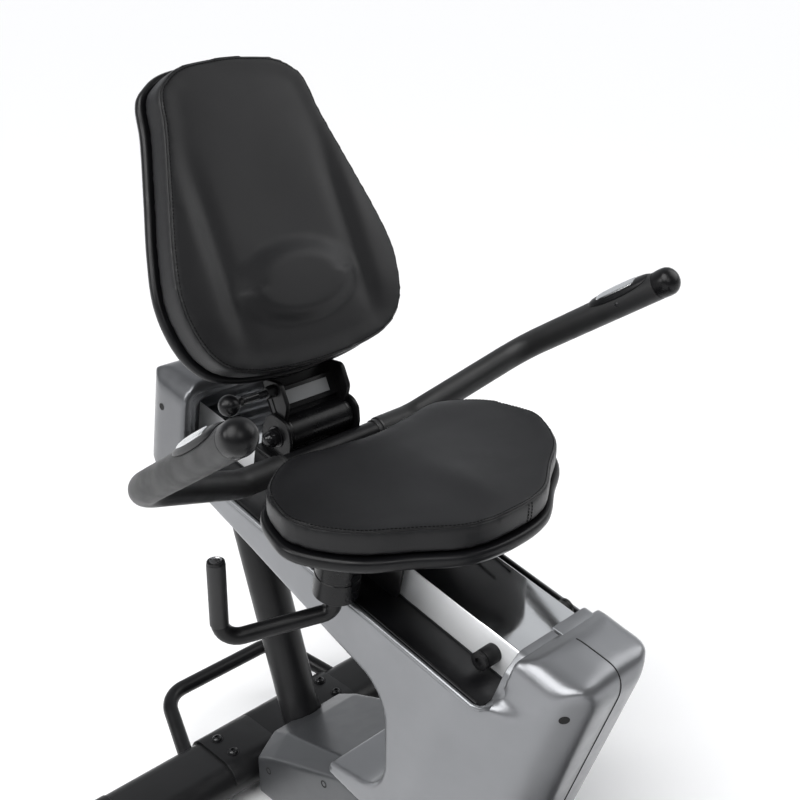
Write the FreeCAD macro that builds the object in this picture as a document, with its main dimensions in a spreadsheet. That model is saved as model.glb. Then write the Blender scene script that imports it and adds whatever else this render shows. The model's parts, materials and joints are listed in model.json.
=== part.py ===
"""Recumbent exercise bike: a seat carriage on an inclined rail, and a pedal drive with a console mast.

The bike faces +X, the rider's left is +Y and the floor is z = 0.  Sizes are millimetres and degrees.
Pieces of the rail, the backrest, the seat and the console are drawn in frames of their own, which
`stand` puts in place, so that they follow when the frame's origin or angle is changed in the sheet.
"""
import FreeCAD, Part
import math
import os
import re
from types import SimpleNamespace
from FreeCAD import Placement, Rotation, Vector

# name, value, what it is
DIMENSIONS = [
    ("half_length", 840, "centre to the lift handle's rear and to the transport wheels' front"),
    ("beam_width", 100, "base beam, across"),
    ("beam_bottom", 28, "base beam, underside above the floor"),
    ("beam_height", 50, "base beam, height"),
    ("beam_wall", 3, "base beam, wall"),
    ("foot_height", 18, "rubber feet, height"),
    ("foot_radius", 20, "rubber feet, radius"),
    ("bar_height", 60, "stabiliser tubes, height"),
    ("bar_wall", 3, "stabiliser tubes, wall"),
    ("rear_bar_x", -672.5, "rear stabiliser, centre"),
    ("rear_bar_width", 115, "rear stabiliser, front to back"),
    ("rear_bar_half", 296, "rear stabiliser, half length of the tube"),
    ("front_bar_x", 740, "front stabiliser, centre"),
    ("front_bar_width", 90, "front stabiliser, front to back"),
    ("front_bar_half", 240, "front stabiliser, half length of the tube"),
    ("end_cap_length", 24, "rear stabiliser end caps, length"),
    ("saddle_half", 130, "saddle bracket, half width"),
    ("saddle_plate", 4.5, "saddle bracket, plate"),
    ("saddle_bolt_y", 107, "saddle bolts, distance from the middle"),
    ("saddle_bolt_gap", 42, "saddle bolts, front to back"),
    ("bolt_radius", 4, "bolts, shank radius"),
    ("bolt_head_radius", 8, "bolts, head radius"),
    ("bolt_head_height", 5, "bolts, head height"),
    ("lift_radius", 12, "lift handle, tube radius"),
    ("lift_half", 112, "lift handle, half width of the grip"),
    ("lift_root_y", 153, "lift handle, half width at its roots"),
    ("lift_z", 94, "lift handle, height of the grip"),
    ("lift_bend", 45, "lift handle, bend radius"),
    ("column_radius", 31, "rear column, radius"),
    ("column_wall", 3, "rear column, wall"),
    ("column_foot_x", -596.6, "rear column, axis at the beam's top"),
    ("column_lean", 18.75, "rear column, lean from upright"),
    ("rail_x", -465, "rail frame origin, on the rail's top"),
    ("rail_z", 575, "rail frame origin, height"),
    ("rail_angle", 11.6, "rail, fall towards the front"),
    ("rail_width", 110, "rail, width"),
    ("rail_height", 52, "rail, height"),
    ("rail_wall", 3, "rail, wall"),
    ("rail_rear", -322, "rail, rear end along the rail"),
    ("rail_front", 385, "rail, front end along the rail"),
    ("post_x", -190, "rail post, centre"),
    ("post_size", 64, "rail post, side"),
    ("tray_outer", 113, "rail trays, outer edge from the middle"),
    ("tray_front", 338, "rail trays, front end along the rail"),
    ("tray_plate", 3, "rail trays, plate"),
    ("housing_half", 120, "seat housing, half width"),
    ("housing_wall", 3, "covers, wall"),
    ("cap_front", -240, "rail end cap, front rim along the rail"),
    ("cap_length", 105, "rail end cap, length"),
    ("cap_top", 64, "rail end cap, top above the rail"),
    ("fit_gap", 0.3, "gap between pieces that don't touch"),
    ("running_gap", 0.06, "radial clearance of pins and axles"),
    ("stop_radius", 12, "rail stops, radius"),
    ("stop_length", 27, "rail stops, length"),
    ("stop_at", 303, "rail stops, place along the rail"),
    ("screw_radius", 5.5, "cover screws, head radius"),
    ("carriage_rear", -138, "seat carriage, rear edge along the rail"),
    ("carriage_front", 158, "seat carriage, front edge along the rail"),
    ("carriage_half", 72, "seat carriage, half width"),
    ("carriage_plate", 4, "seat carriage, plate"),
    ("carriage_rise", 8, "seat carriage, top plate above the rail"),
    ("carriage_drop", 44, "seat carriage, side plates below the rail's top"),
    ("roller_radius", 9.7, "carriage rollers, radius"),
    ("roller_half", 40, "carriage rollers, half length"),
    ("roller_axle", 4, "carriage rollers, axle radius"),
    ("roller_rear_at", -40, "carriage rollers, rear axle along the rail"),
    ("roller_front_at", 128, "carriage rollers, front axle along the rail"),
    ("seat_x", -325, "seat frame origin, on the seam plane"),
    ("seat_z", 660, "seat frame origin, height"),
    ("seat_tilt", 4, "seat, fall towards the front"),
    ("seat_half_width", 217, "seat pad, half width"),
    ("seat_front", 127, "seat pad, centre to nose"),
    ("pad_band", 36, "seat pad, side band under the seam"),
    ("pad_crown", 8, "seat pad, height above the seam"),
    ("pan_height", 24, "seat pan, height"),
    ("pan_lip", 6, "seat pan, lip round the pad"),
    ("hinge_at", -107, "backrest hinge, place along the rail"),
    ("hinge_rise", 45, "backrest hinge, above the rail's top"),
    ("barrel_radius", 23, "backrest hinge, barrel radius"),
    ("barrel_half", 57, "backrest hinge, half length of the barrel"),
    ("flange_radius", 28, "backrest hinge, flange radius"),
    ("flange_plate", 5, "backrest hinge, flange plate"),
    ("pin_radius", 8, "backrest hinge, pin radius"),
    ("back_x", -532, "backrest frame origin, lowest point of the seam"),
    ("back_z", 742, "backrest frame origin, height"),
    ("back_recline", 25.24, "backrest, lean from upright"),
    ("back_height", 415, "backrest pad, height along the lean"),
    ("back_half_width", 183, "backrest pad, half width"),
    ("back_band", 45, "backrest pad, thickness behind the seam"),
    ("back_crown", 8, "backrest pad, height before the seam"),
    ("back_shell", 22, "backrest shell, thickness"),
    ("back_plate", 6, "backrest bracket, plate"),
    ("knob_radius", 14.5, "recline knob, radius"),
    ("knob_y", 130, "recline knob, distance from the middle"),
    ("handle_radius", 15, "side handles, tube radius"),
    ("grip_radius", 19, "side handles, sleeve radius"),
    ("handle_end_x", -252, "side handles, front end"),
    ("handle_end_y", 349, "side handles, half width at the end"),
    ("handle_end_z", 832, "side handles, height at the end"),
    ("handle_corner_x", -466, "side handles, corner"),
    ("handle_corner_y", 332, "side handles, half width at the corner"),
    ("handle_corner_z", 691, "side handles, height at the corner"),
    ("handle_bend", 62, "side handles, bend radius"),
    ("handle_ahead", 41, "side handles, cross tube ahead of the hinge"),
    ("handle_root", 154, "side handles, half length of the cross tube"),
    ("handle_sleeve", 88, "side handles, where a sleeve starts on the cross tube"),
    ("sensor_length", 92, "pulse sensors, length"),
    ("lever_radius", 8.5, "seat lever, rod radius"),
    ("lever_socket_radius", 23, "seat lever, socket radius"),
    ("lever_at", 116, "seat lever, pivot along the rail"),
    ("lever_y", 140, "seat lever, pivot from the middle"),
    ("lever_reach", 262, "seat lever, grip from the middle"),
    ("lever_grip_length", 112, "seat lever, length of the upright grip"),
    ("crank_x", 460, "crank axis"),
    ("crank_z", 360, "crank axis, height"),
    ("crank_length", 170, "crank arms, length"),
    ("crank_angle", 40, "crank arms, right arm below the horizontal"),
    ("axle_radius", 9, "crank axle, radius"),
    ("arm_gap", 82, "crank arms, inner face from the middle"),
    ("arm_plate", 14, "crank arms, thickness"),
    ("pulley_radius", 120, "drive pulley, radius"),
    ("pulley_y", 40, "belt line, inner side from the middle"),
    ("belt_width", 12, "drive belt, width"),
    ("belt_plate", 4, "drive belt, thickness"),
    ("flywheel_x", 650, "flywheel axis"),
    ("flywheel_z", 272, "flywheel axis, height"),
    ("flywheel_radius", 120, "flywheel, radius"),
    ("flywheel_width", 36, "flywheel, width"),
    ("small_pulley_radius", 20, "flywheel pulley, radius"),
    ("idler_radius", 16, "idler wheel, radius"),
    ("fork_half", 58, "flywheel fork, inner side from the middle"),
    ("fork_plate", 4, "flywheel fork, plate"),
    ("fork_top", 440, "flywheel fork, top"),
    ("drive_half", 75, "drive housing, half width"),
    ("spindle_radius", 6, "pedal spindles, radius"),
    ("pedal_width", 78, "pedals, across"),
    ("pedal_length", 92, "pedals, front to back"),
    ("pedal_height", 24, "pedals, height"),
    ("mast_size", 50, "mast, side"),
    ("mast_lean", 12.7, "mast, lean towards the rider"),
    ("mast_foot_x", 638, "mast, axis at its foot"),
    ("bar_tube_radius", 12.5, "front handlebar, tube radius"),
    ("bar_tube_half", 205, "front handlebar, half width"),
    ("bar_tube_z", 940, "front handlebar, height at the mast"),
    ("console_x", 470, "console frame origin, on the face"),
    ("console_z", 1120, "console frame origin, height"),
    ("console_tilt", 25, "console, face from upright"),
    ("console_half", 165, "console, half width"),
    ("console_depth", 42, "console, depth"),
    ("screen_half", 112, "console screen, half width"),
    ("button_radius", 11, "console buttons, radius"),
    ("button_gap", 60, "console buttons, centre to centre"),
    ("wheel_radius", 35, "transport wheels, radius"),
    ("wheel_width", 24, "transport wheels, width"),
    ("wheel_z", 45, "transport wheels, axis height"),
    ("wheel_axle", 5, "transport wheels, axle radius"),
]

doc = FreeCAD.newDocument("exercise_bike")
sheet = doc.addObject("Spreadsheet::Sheet", "Dimensions")
for row, (name, value, meaning) in enumerate(DIMENSIONS, start=1):
    sheet.set(f"A{row}", name)
    sheet.set(f"B{row}", str(value))
    sheet.set(f"C{row}", meaning)
    sheet.setAlias(f"B{row}", name)
doc.recompute()
NAMES = {name for name, value, meaning in DIMENSIONS}
d = SimpleNamespace(**{name: float(sheet.get(name)) for name in NAMES})

AXIS_X, AXIS_Y, AXIS_Z = Vector(1, 0, 0), Vector(0, 1, 0), Vector(0, 0, 1)
SIDES = {"right": -1, "left": 1}
nodes = []


# ---- expression-bound primitives and booleans ----

def bind(item, prop, formula):
    """Bind a property to the sheet: plain words in the formula are the sheet's aliases."""
    text = re.sub(r"[a-z_]+", lambda word: "Dimensions." + word.group() if word.group() in NAMES
                  else word.group(), str(formula))
    item.setExpression(prop, text)


def move(item, at):
    for letter, formula in zip("xyz", at):
        bind(item, "Placement.Base." + letter, formula)
    return item


def box(at, spans):
    """A box from its lowest corner and its three spans."""
    item = doc.addObject("Part::Box", "Block")
    for prop, formula in zip(("Length", "Width", "Height"), spans):
        bind(item, prop, formula)
    return move(item, at)


def slab(half_width, low_x, high_x, low_z, high_z):
    """A box centred across, from its limits in X and Z."""
    return box((low_x, f"-({half_width})", low_z),
               (f"({high_x}) - ({low_x})", f"2 * ({half_width})", f"({high_z}) - ({low_z})"))


def rod(at, radius, length, axis="z"):
    """A cylinder that starts at a point and runs along +X, +Y or +Z."""
    item = doc.addObject("Part::Cylinder", "Rod")
    turn = {"x": Rotation(AXIS_Y, 90), "y": Rotation(AXIS_X, -90), "z": Rotation()}[axis]
    item.Placement = Placement(Vector(), turn)
    bind(item, "Radius", radius)
    bind(item, "Height", length)
    return move(item, at)


def ball(at, radius):
    item = doc.addObject("Part::Sphere", "Ball")
    bind(item, "Radius", radius)
    return move(item, at)


def join(*pieces):
    if len(pieces) == 1:
        return pieces[0]
    item = doc.addObject("Part::MultiFuse", "Join")
    item.Shapes = list(pieces)
    return item


def cut(base, *tools):
    item = doc.addObject("Part::Cut", "Cut")
    item.Base = base
    item.Tool = join(*tools)
    return item


def gather(*pieces):
    """Separate solids that share one node."""
    item = doc.addObject("Part::Compound", "Group")
    item.Links = list(pieces)
    return item


def shape_of(shape):
    """A piece whose shape neither a primitive nor a sketch gives: its sizes come from `d`."""
    item = doc.addObject("Part::Feature", "Form")
    item.Shape = Part.makeCompound([shape])
    return item


# ---- frames ----

FRAMES = {
    "world": None,
    "rail": ("rail_x", "rail_z", "rail_angle"),
    "seat": ("seat_x", "seat_z", "seat_tilt"),
    "back": ("back_x", "back_z", "-back_recline"),
    "console": ("console_x", "console_z", "console_tilt"),
    "crank": ("crank_x", "crank_z", "crank_angle"),
    "column": ("column_foot_x", "beam_bottom + beam_height", "-column_lean"),
    "mast": ("mast_foot_x", "fork_top", "-mast_lean"),
}


def stand(item, frame):
    """Put an item that was drawn in a frame of its own where that frame stands."""
    if FRAMES[frame]:
        if item.TypeId in ("Part::Box", "Part::Cylinder"):
            item = gather(item)
        x, z, angle = FRAMES[frame]
        item.Placement = Placement(Vector(), Rotation(AXIS_Y, 1))
        move(item, (x, "0", z))
        bind(item, "Placement.Rotation.Angle", angle)
    return item


def lean(x, z, angle):
    return Placement(Vector(x, 0, z), Rotation(AXIS_Y, angle))


RAIL = lean(d.rail_x, d.rail_z, d.rail_angle)
SEAT = lean(d.seat_x, d.seat_z, d.seat_tilt)
BACK = lean(d.back_x, d.back_z, -d.back_recline)
CONSOLE = lean(d.console_x, d.console_z, d.console_tilt)
COLUMN = lean(d.column_foot_x, d.beam_bottom + d.beam_height, -d.column_lean)
MAST = lean(d.mast_foot_x, d.fork_top, -d.mast_lean)


def node(item, label, frame="world"):
    """Name a finished sub-part and put it in place."""
    item = stand(item, frame)
    item.Label = label
    nodes.append(item)
    return item


# ---- outlines and tubes ----

def rounded(points, radii, closed=True):
    """A wire through corner points, each rounded to its radius by a tangent arc."""
    count = len(points)
    edges = []
    start = None
    first = None
    for index, (corner, radius) in enumerate(zip(points, radii)):
        ends = not closed and index in (0, count - 1)
        if ends or radius == 0:
            enter = leave = corner
        else:
            before = (points[index - 1] - corner).normalize()
            after = (points[(index + 1) % count] - corner).normalize()
            half = before.getAngle(after) / 2
            reach = radius / math.tan(half)
            enter = corner + before * reach
            leave = corner + after * reach
            middle = corner + (before + after).normalize() * (radius / math.sin(half) - radius)
        if start and start.distanceToPoint(enter) > 1e-6:
            edges.append(Part.LineSegment(start, enter).toShape())
        if not start:
            first = enter
        if enter is not leave:
            edges.append(Part.Arc(enter, middle, leave).toShape())
        start = leave
    if closed and start.distanceToPoint(first) > 1e-6:
        edges.append(Part.LineSegment(start, first).toShape())
    return Part.Wire(edges)


def side_face(corners, y=0):
    """A face in the plane of the bike's side, from (x, z, corner radius)."""
    return Part.Face(rounded([Vector(x, y, z) for x, z, radius in corners], [c[2] for c in corners]))


def half_pad(points):
    """A closed smooth outline from its right half; the points are (along, across)."""
    mirrored = [(along, -across) for along, across in reversed(points) if across]
    return points + mirrored


def smooth_face(points, plane):
    """A face inside a smooth closed curve; plane is "xy" or "zy"."""
    if plane == "xy":
        places = [Vector(along, across, 0) for along, across in points]
    else:
        places = [Vector(0, across, along) for along, across in points]
    curve = Part.BSplineCurve()
    curve.interpolate(Points=places, PeriodicFlag=True)
    return Part.Face(Part.Wire([curve.toShape()]))


def tube_along(points, bends, radius, bore=0):
    """A round tube along straight runs joined by tangent arcs, one bend for each inner point."""
    path = rounded(points, [0, *bends, 0], closed=False)
    heading = (points[1] - points[0]).normalize()
    outer = Part.Wire([Part.makeCircle(radius, points[0], heading)])
    solid = path.makePipeShell([outer], True, False)
    if bore:
        inner = Part.Wire([Part.makeCircle(bore, points[0], heading)])
        solid = solid.cut(path.makePipeShell([inner], True, False))
    return solid


def mirrored(shape):
    return shape.mirror(Vector(), AXIS_Y)


def oval_bar(x, width, low_z, height, half_length, start="0"):
    """A flat bar with half-round edges along Y, from `start` to `start + half_length` each way."""
    radius = f"({height}) / 2"
    low_y = f"-({half_length})"
    span = f"2 * ({half_length})"
    parts = [box((f"{x} - ({width} - {height}) / 2", low_y, low_z), (f"{width} - {height}", span, height))]
    for side in "-+":
        centre = f"{x} {side} ({width} - {height}) / 2"
        parts.append(rod((centre, low_y, f"{low_z} + {radius}"), radius, span, "y"))
    return join(*parts)


def hollow_bar(x, width, half_length):
    inner = oval_bar(x, f"({width} - 2 * bar_wall)", "foot_height + bar_wall",
                     "(bar_height - 2 * bar_wall)", f"{half_length} + 1")
    return cut(oval_bar(x, width, "foot_height", "bar_height", half_length), inner)


def bar_form(x, width, half_length, grow=0):
    """The stabiliser's outer form, for pieces that are cut to fit it."""
    radius = d.bar_height / 2 + grow
    middle = d.foot_height + d.bar_height / 2
    flat = (width - d.bar_height) / 2
    form = Part.makeBox(2 * flat, 2 * half_length, 2 * radius, Vector(x - flat, -half_length, middle - radius))
    for side in (-1, 1):
        form = form.fuse(Part.makeCylinder(radius, 2 * half_length,
                                           Vector(x + side * flat, -half_length, middle), AXIS_Y))
    return form


BEAM_TOP = "beam_bottom + beam_height"
beam_top = d.beam_bottom + d.beam_height


# ---- base frame ----

def base_beam():
    length = "front_bar_x - rear_bar_x"
    outer = slab("beam_width / 2", "rear_bar_x", "front_bar_x", "beam_bottom", BEAM_TOP)
    inner = slab("beam_width / 2 - beam_wall", "rear_bar_x - 1", "front_bar_x + 1",
                 "beam_bottom + beam_wall", BEAM_TOP + " - beam_wall")
    bars = [oval_bar(f"{end}_bar_x", f"{end}_bar_width", "foot_height", "bar_height", "beam_width")
            for end in ("rear", "front")]
    node(cut(outer, inner, *bars), "base_beam")


def stabilisers():
    for end in ("rear", "front"):
        node(hollow_bar(f"{end}_bar_x", f"{end}_bar_width", f"{end}_bar_half"), f"{end}_stabilizer")
    outer = oval_bar("rear_bar_x", "(rear_bar_width + 3)", "foot_height - 1.5", "(bar_height + 3)",
                     "rear_bar_half + end_cap_length")
    middle = slab("rear_bar_half", "rear_bar_x - rear_bar_width", "rear_bar_x + rear_bar_width",
                  "0", "2 * bar_height")
    node(cut(outer, middle), "stabilizer_end_caps")


def rubber_feet():
    feet = [rod((f"{end}_bar_x", f"{sign} * ({end}_bar_half - {inset})", "0"), "foot_radius", "foot_height")
            for end, inset in (("rear", 35), ("front", 30)) for sign in (-1, 1)]
    node(gather(*feet), "rubber_feet")


def saddle():
    """The bracket that clamps the beam on the rear stabiliser, and its four bolts."""
    grown = "(bar_height + 2 * saddle_plate)"
    wrap = oval_bar("rear_bar_x", "(rear_bar_width + 2 * saddle_plate)", "foot_height - saddle_plate",
                    grown, "saddle_half")
    foot = slab("column_radius + 2", "column_foot_x - column_radius - 6", "rear_bar_x + rear_bar_width",
                "bar_height", "2 * bar_height")
    below = slab("saddle_half + 1", "rear_bar_x - rear_bar_width", "rear_bar_x + rear_bar_width", "0",
                 "foot_height + bar_height / 2 + 2")
    bar = oval_bar("rear_bar_x", "rear_bar_width", "foot_height", "bar_height", "saddle_half + 1")
    beam = slab("beam_width / 2", "rear_bar_x", "rear_bar_x + rear_bar_width", "beam_bottom", BEAM_TOP)
    holes = []
    bolts = []
    seat = "foot_height + bar_height + saddle_plate"
    for across in (-1, 1):
        for along in (-1, 1):
            place = (f"rear_bar_x + {along} * saddle_bolt_gap / 2", f"{across} * saddle_bolt_y")
            holes.append(rod((*place, "foot_height + bar_height - 1"), "bolt_radius + fit_gap",
                             "saddle_plate + 2"))
            shank = rod((*place, "foot_height + bar_height"), "bolt_radius", "saddle_plate")
            head = rod((*place, seat), "bolt_head_radius", "bolt_head_height")
            bolts.append(join(shank, head))
    node(cut(wrap, below, bar, beam, foot, *holes), "saddle_bracket")
    node(gather(*bolts), "saddle_bolts")


def lift_handle():
    grip_x = -d.half_length + d.lift_radius
    root = Vector(d.rear_bar_x - d.rear_bar_width / 2 + 18, d.lift_root_y, 60)
    corner = Vector(grip_x, d.lift_half, d.lift_z)
    points = [root, corner, Vector(corner.x, -corner.y, corner.z), Vector(root.x, -root.y, root.z)]
    tube = tube_along(points, [d.lift_bend] * 2, d.lift_radius)
    node(shape_of(tube.cut(bar_form(d.rear_bar_x, d.rear_bar_width, d.rear_bar_half))), "lift_handle")


def rear_column():
    """A leaning tube from the beam's top to the rail's underside."""
    tube = Part.makeCylinder(d.column_radius, 700, Vector(0, 0, -40))
    tube = tube.cut(Part.makeCylinder(d.column_radius - d.column_wall, 700, Vector(0, 0, -40)))
    tube.Placement = COLUMN
    above = Part.makeBox(800, 400, 400, Vector(-600, -200, -d.rail_height))
    above.Placement = RAIL
    below = Part.makeBox(400, 400, 300, Vector(d.column_foot_x - 200, -200, beam_top - 300))
    node(shape_of(tube.cut(above).cut(below)), "rear_column")


def rail_post():
    """The post that carries the rail's front end, inside the seat housing."""
    half = d.post_size / 2
    post = Part.makeBox(d.post_size, d.post_size, 600, Vector(d.post_x - half, -half, beam_top))
    inside = half - d.beam_wall
    post = post.cut(Part.makeBox(2 * inside, 2 * inside, 600, Vector(d.post_x - inside, -inside, beam_top)))
    above = Part.makeBox(1200, 400, 400, Vector(-600, -200, -d.rail_height))
    above.Placement = RAIL
    node(shape_of(post.cut(above)), "rail_post")


# ---- rail ----

def rail():
    outer = slab("rail_width / 2", "rail_rear", "rail_front", "-rail_height", "0")
    inner = slab("rail_width / 2 - rail_wall", "rail_rear - 1", "rail_front + 1",
                 "rail_wall - rail_height", "-rail_wall")
    node(cut(outer, inner), "rail", "rail")
    trays = []
    for side in SIDES.values():
        low = "rail_width / 2" if side > 0 else "-tray_outer"
        trays.append(box(("cap_front + 1", low, "-rail_height - tray_plate"),
                         ("tray_front - cap_front", "tray_outer - rail_width / 2", "tray_plate")))
    node(gather(*trays), "rail_trays", "rail")
    stops = [rod(("stop_at", "rail_width / 2" if side > 0 else "-rail_width / 2 - stop_length",
                  "-rail_height / 2"), "stop_radius", "stop_length", "y") for side in SIDES.values()]
    node(gather(*stops), "rail_stops", "rail")


def rail_end_cap():
    """A rounded cap over the rail's rear end, with a stepped frame round the rail."""
    rear = d.cap_front - d.cap_length
    top = d.cap_top
    profile = [(rear, -96, 12), (rear + 6, top, 34), (d.cap_front, top + 4, 4), (d.cap_front, -96, 0)]
    body = side_face(profile).extrude(Vector(0, 2 * d.housing_half, 0))
    body.translate(Vector(0, -d.housing_half, 0))
    corner = d.housing_half
    plan = rounded([Vector(rear, -corner, -200), Vector(200, -corner, -200), Vector(200, corner, -200),
                    Vector(rear, corner, -200)], [52, 0, 0, 52])
    body = body.common(Part.Face(plan).extrude(Vector(0, 0, 400)))
    for half, low, high, back in ((104, -60, top - 14, d.cap_front - 14), (84, -60, 26, d.cap_front - 40),
                                  (d.rail_width / 2 + d.fit_gap, -d.rail_height - d.fit_gap, d.fit_gap,
                                   d.rail_rear - d.fit_gap)):
        body = body.cut(Part.makeBox(400, 2 * half, high - low, Vector(back, -half, low)))
    column = Part.makeCylinder(d.column_radius + 1, 700)
    column.Placement = RAIL.inverse().multiply(COLUMN)
    node(shape_of(body.cut(column)), "rail_end_cap", "rail")


# ---- covers ----

def seat_housing():
    """The two halves of the cover under the rail: limb, pedestal and nose, split down the middle."""
    wall = d.housing_wall
    corners = [(-682, 571.5, 0), (-137, 460, 0), (-124, 512, 5), (-92, 521, 24), (-22, 509, 30),
               (-141, 152, 24), (-408, 205, 4), (-404, 220, 4), (-297, 234, 58), (-294, 396, 66),
               (-400, 434, 60), (-560, 494, 80), (-694, 541, 0)]
    face = side_face(corners)
    outer = face.extrude(Vector(0, d.housing_half, 0))
    hollow = face.makeOffset2D(-wall).extrude(Vector(0, d.housing_half - wall, 0))
    plan = rounded([Vector(x, y, 540) for x, y in ((-900, -1), (-900, 121), (-150, 121), (-47, 84), (-8, 36),
                                                   (-8, -1))], [0, 0, 60, 30, 24, 0])
    slope = Vector(-0.34, 0, -1) * 520
    plan_form = Part.Face(plan).extrude(slope)
    inner_plan = Part.Face(plan).extrude(slope)
    inner_plan.translate(Vector(-wall, -wall, 0))
    arch = rounded([Vector(-500, y, z) for y, z in ((-1, -650), (122, -650), (122, -52), (90, -52), (76, 17),
                                                    (-1, 19.5))], [0, 0, 4, 14, 22, 0])
    arch_form = Part.Face(arch).extrude(Vector(1100, 0, 0))
    inner_arch = arch_form.copy()
    inner_arch.translate(Vector(0, -wall, -wall))
    for form in (arch_form, inner_arch):
        form.Placement = RAIL.multiply(form.Placement)
    half = outer.common(plan_form).common(arch_form).cut(hollow.common(inner_plan).common(inner_arch))
    recess = Part.makeBox(745, 2 * d.tray_outer + 1, 260, Vector(-400, -d.tray_outer - 0.5,
                                                                -d.rail_height - d.tray_plate - d.fit_gap))
    rail_room = Part.makeBox(460, d.rail_width + 2, d.rail_height + 6,
                             Vector(-60, -d.rail_width / 2 - 1, -d.rail_height - 4))
    for tool in (recess, rail_room):
        tool.Placement = RAIL
        half = half.cut(tool)
    column = Part.makeCylinder(d.column_radius + 3, 700)
    column.Placement = COLUMN
    post = d.post_size / 2 + 2
    half = half.cut(column).cut(Part.makeBox(2 * post, 2 * post, 400, Vector(d.post_x - post, -post, beam_top)))
    half = half.cut(Part.makeBox(900, d.fit_gap / 2, 700, Vector(-850, 0, 0)))
    node(shape_of(mirrored(half)), "seat_housing_right")
    node(shape_of(half), "seat_housing_left")


def rear_shroud():
    """The faceted cover round the column's foot and the beam's rear end."""
    front = rounded([Vector(-250, y, z) for y, z in ((-100, 34), (-100, 150), (-82, 176), (82, 176),
                                                     (100, 150), (100, 34))], [0, 12, 8, 8, 12, 0])
    waist = rounded([Vector(-408, y, z) for y, z in ((-100, 34), (-100, 180), (-82, 203), (82, 203),
                                                     (100, 180), (100, 34))], [0, 12, 8, 8, 12, 0])
    rear = rounded([Vector(-598, y, z) for y, z in ((-100, 40), (-100, 104), (-64, 132), (64, 132),
                                                    (100, 104), (100, 40))], [0, 8, 8, 8, 8, 0])
    body = Part.makeLoft([front, waist], True, True).fuse(Part.makeLoft([waist, rear], True, True))
    tunnel = Part.makeBox(500, d.beam_width + 1, beam_top + 0.3, Vector(-700, -d.beam_width / 2 - 0.5, 0))
    hollow = Part.makeBox(322, 190, 110, Vector(-575, -95, 30))
    tongue = Part.makeBox(100, d.beam_width + 26, d.saddle_plate + 1.5,
                          Vector(-640, -d.beam_width / 2 - 13, beam_top - 0.5))
    column = Part.makeCylinder(d.column_radius + 1, 400, Vector(0, 0, -60))
    column.Placement = COLUMN
    post = Part.makeBox(90, 90, 200, Vector(d.post_x - 45, -45, 0))
    for tool in (tunnel, hollow, tongue, column, post):
        body = body.cut(tool)
    seam = Part.makeBox(300, 300, 60, Vector(-410, -150, 0))
    seam.Placement = Placement(Vector(-408, 0, 205 - d.fit_gap), Rotation(AXIS_Y, 11.23),
                               Vector(0, 0, 0)).multiply(Placement(Vector(408, 0, 0), Rotation()))
    node(shape_of(body.cut(seam)), "rear_shroud")


def step_cover():
    """The low cover over the beam where the rider steps through."""
    low = rounded([Vector(-246, y, z) for y, z in ((-96, 34), (-96, 120), (-70, 142), (70, 142), (96, 120),
                                                   (96, 34))], [0, 14, 10, 10, 14, 0])
    far = rounded([Vector(196, y, z) for y, z in ((-74, 34), (-74, 118), (-56, 134), (56, 134), (74, 118),
                                                  (74, 34))], [0, 12, 8, 8, 12, 0])
    body = Part.makeLoft([low, far], True, True)
    body = body.cut(Part.makeBox(500, d.beam_width + 1, beam_top + 0.3,
                                 Vector(-280, -d.beam_width / 2 - 0.5, 0)))
    post = d.post_size / 2 + 3
    body = body.cut(Part.makeBox(2 * post, 2 * post, 200, Vector(d.post_x - post, -post, 0)))
    body = body.cut(Part.makeBox(420, 120, 44, Vector(-236, -60, 88)))
    node(shape_of(body), "step_cover")


def drive_housing():
    """The two halves of the cover round the pedal drive."""
    wall = d.housing_wall
    corners = [(198, 84, 6), (198, 150, 50), (262, 440, 150), (400, 622, 110), (560, 650, 60),
               (700, 570, 130), (812, 340, 150), (782, 84, 50)]
    face = side_face(corners)
    half = face.extrude(Vector(0, d.drive_half, 0))
    half = half.cut(face.makeOffset2D(-wall).extrude(Vector(0, d.drive_half - wall, 0)))
    half = half.cut(Part.makeCylinder(16, 400, Vector(d.crank_x, -200, d.crank_z), AXIS_Y))
    side = d.mast_size / 2 + 1
    mast = Part.makeBox(2 * side, 2 * side, 800, Vector(-side, -side, 0))
    mast.Placement = MAST
    half = half.cut(mast).cut(Part.makeBox(900, d.fit_gap / 2, 900, Vector(0, 0, 0)))
    half = half.cut(Part.makeBox(90, 2 * d.fork_half + 12, 20, Vector(d.flywheel_x - 38, -d.fork_half - 6, 78)))
    half = half.cut(Part.makeBox(60, 60, 20, Vector(d.crank_x - 30, -30, 78)))
    node(shape_of(mirrored(half)), "drive_housing_right")
    node(shape_of(half), "drive_housing_left")


def housing_screws():
    """The screws on both sides of the rear shroud and the drive housing."""
    screws = []
    for x, y, z in ((-570, 100, 92), (-440, 100, 150), (300, 75, 300), (420, 75, 560), (700, 75, 460),
                    (720, 75, 150)):
        for side in SIDES.values():
            start = y if side > 0 else -y - 2
            screws.append(rod((f"{x}", f"{start}", f"{z}"), "screw_radius", "2", "y"))
    node(gather(*screws), "cover_screws")


# ---- seat carriage ----

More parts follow.
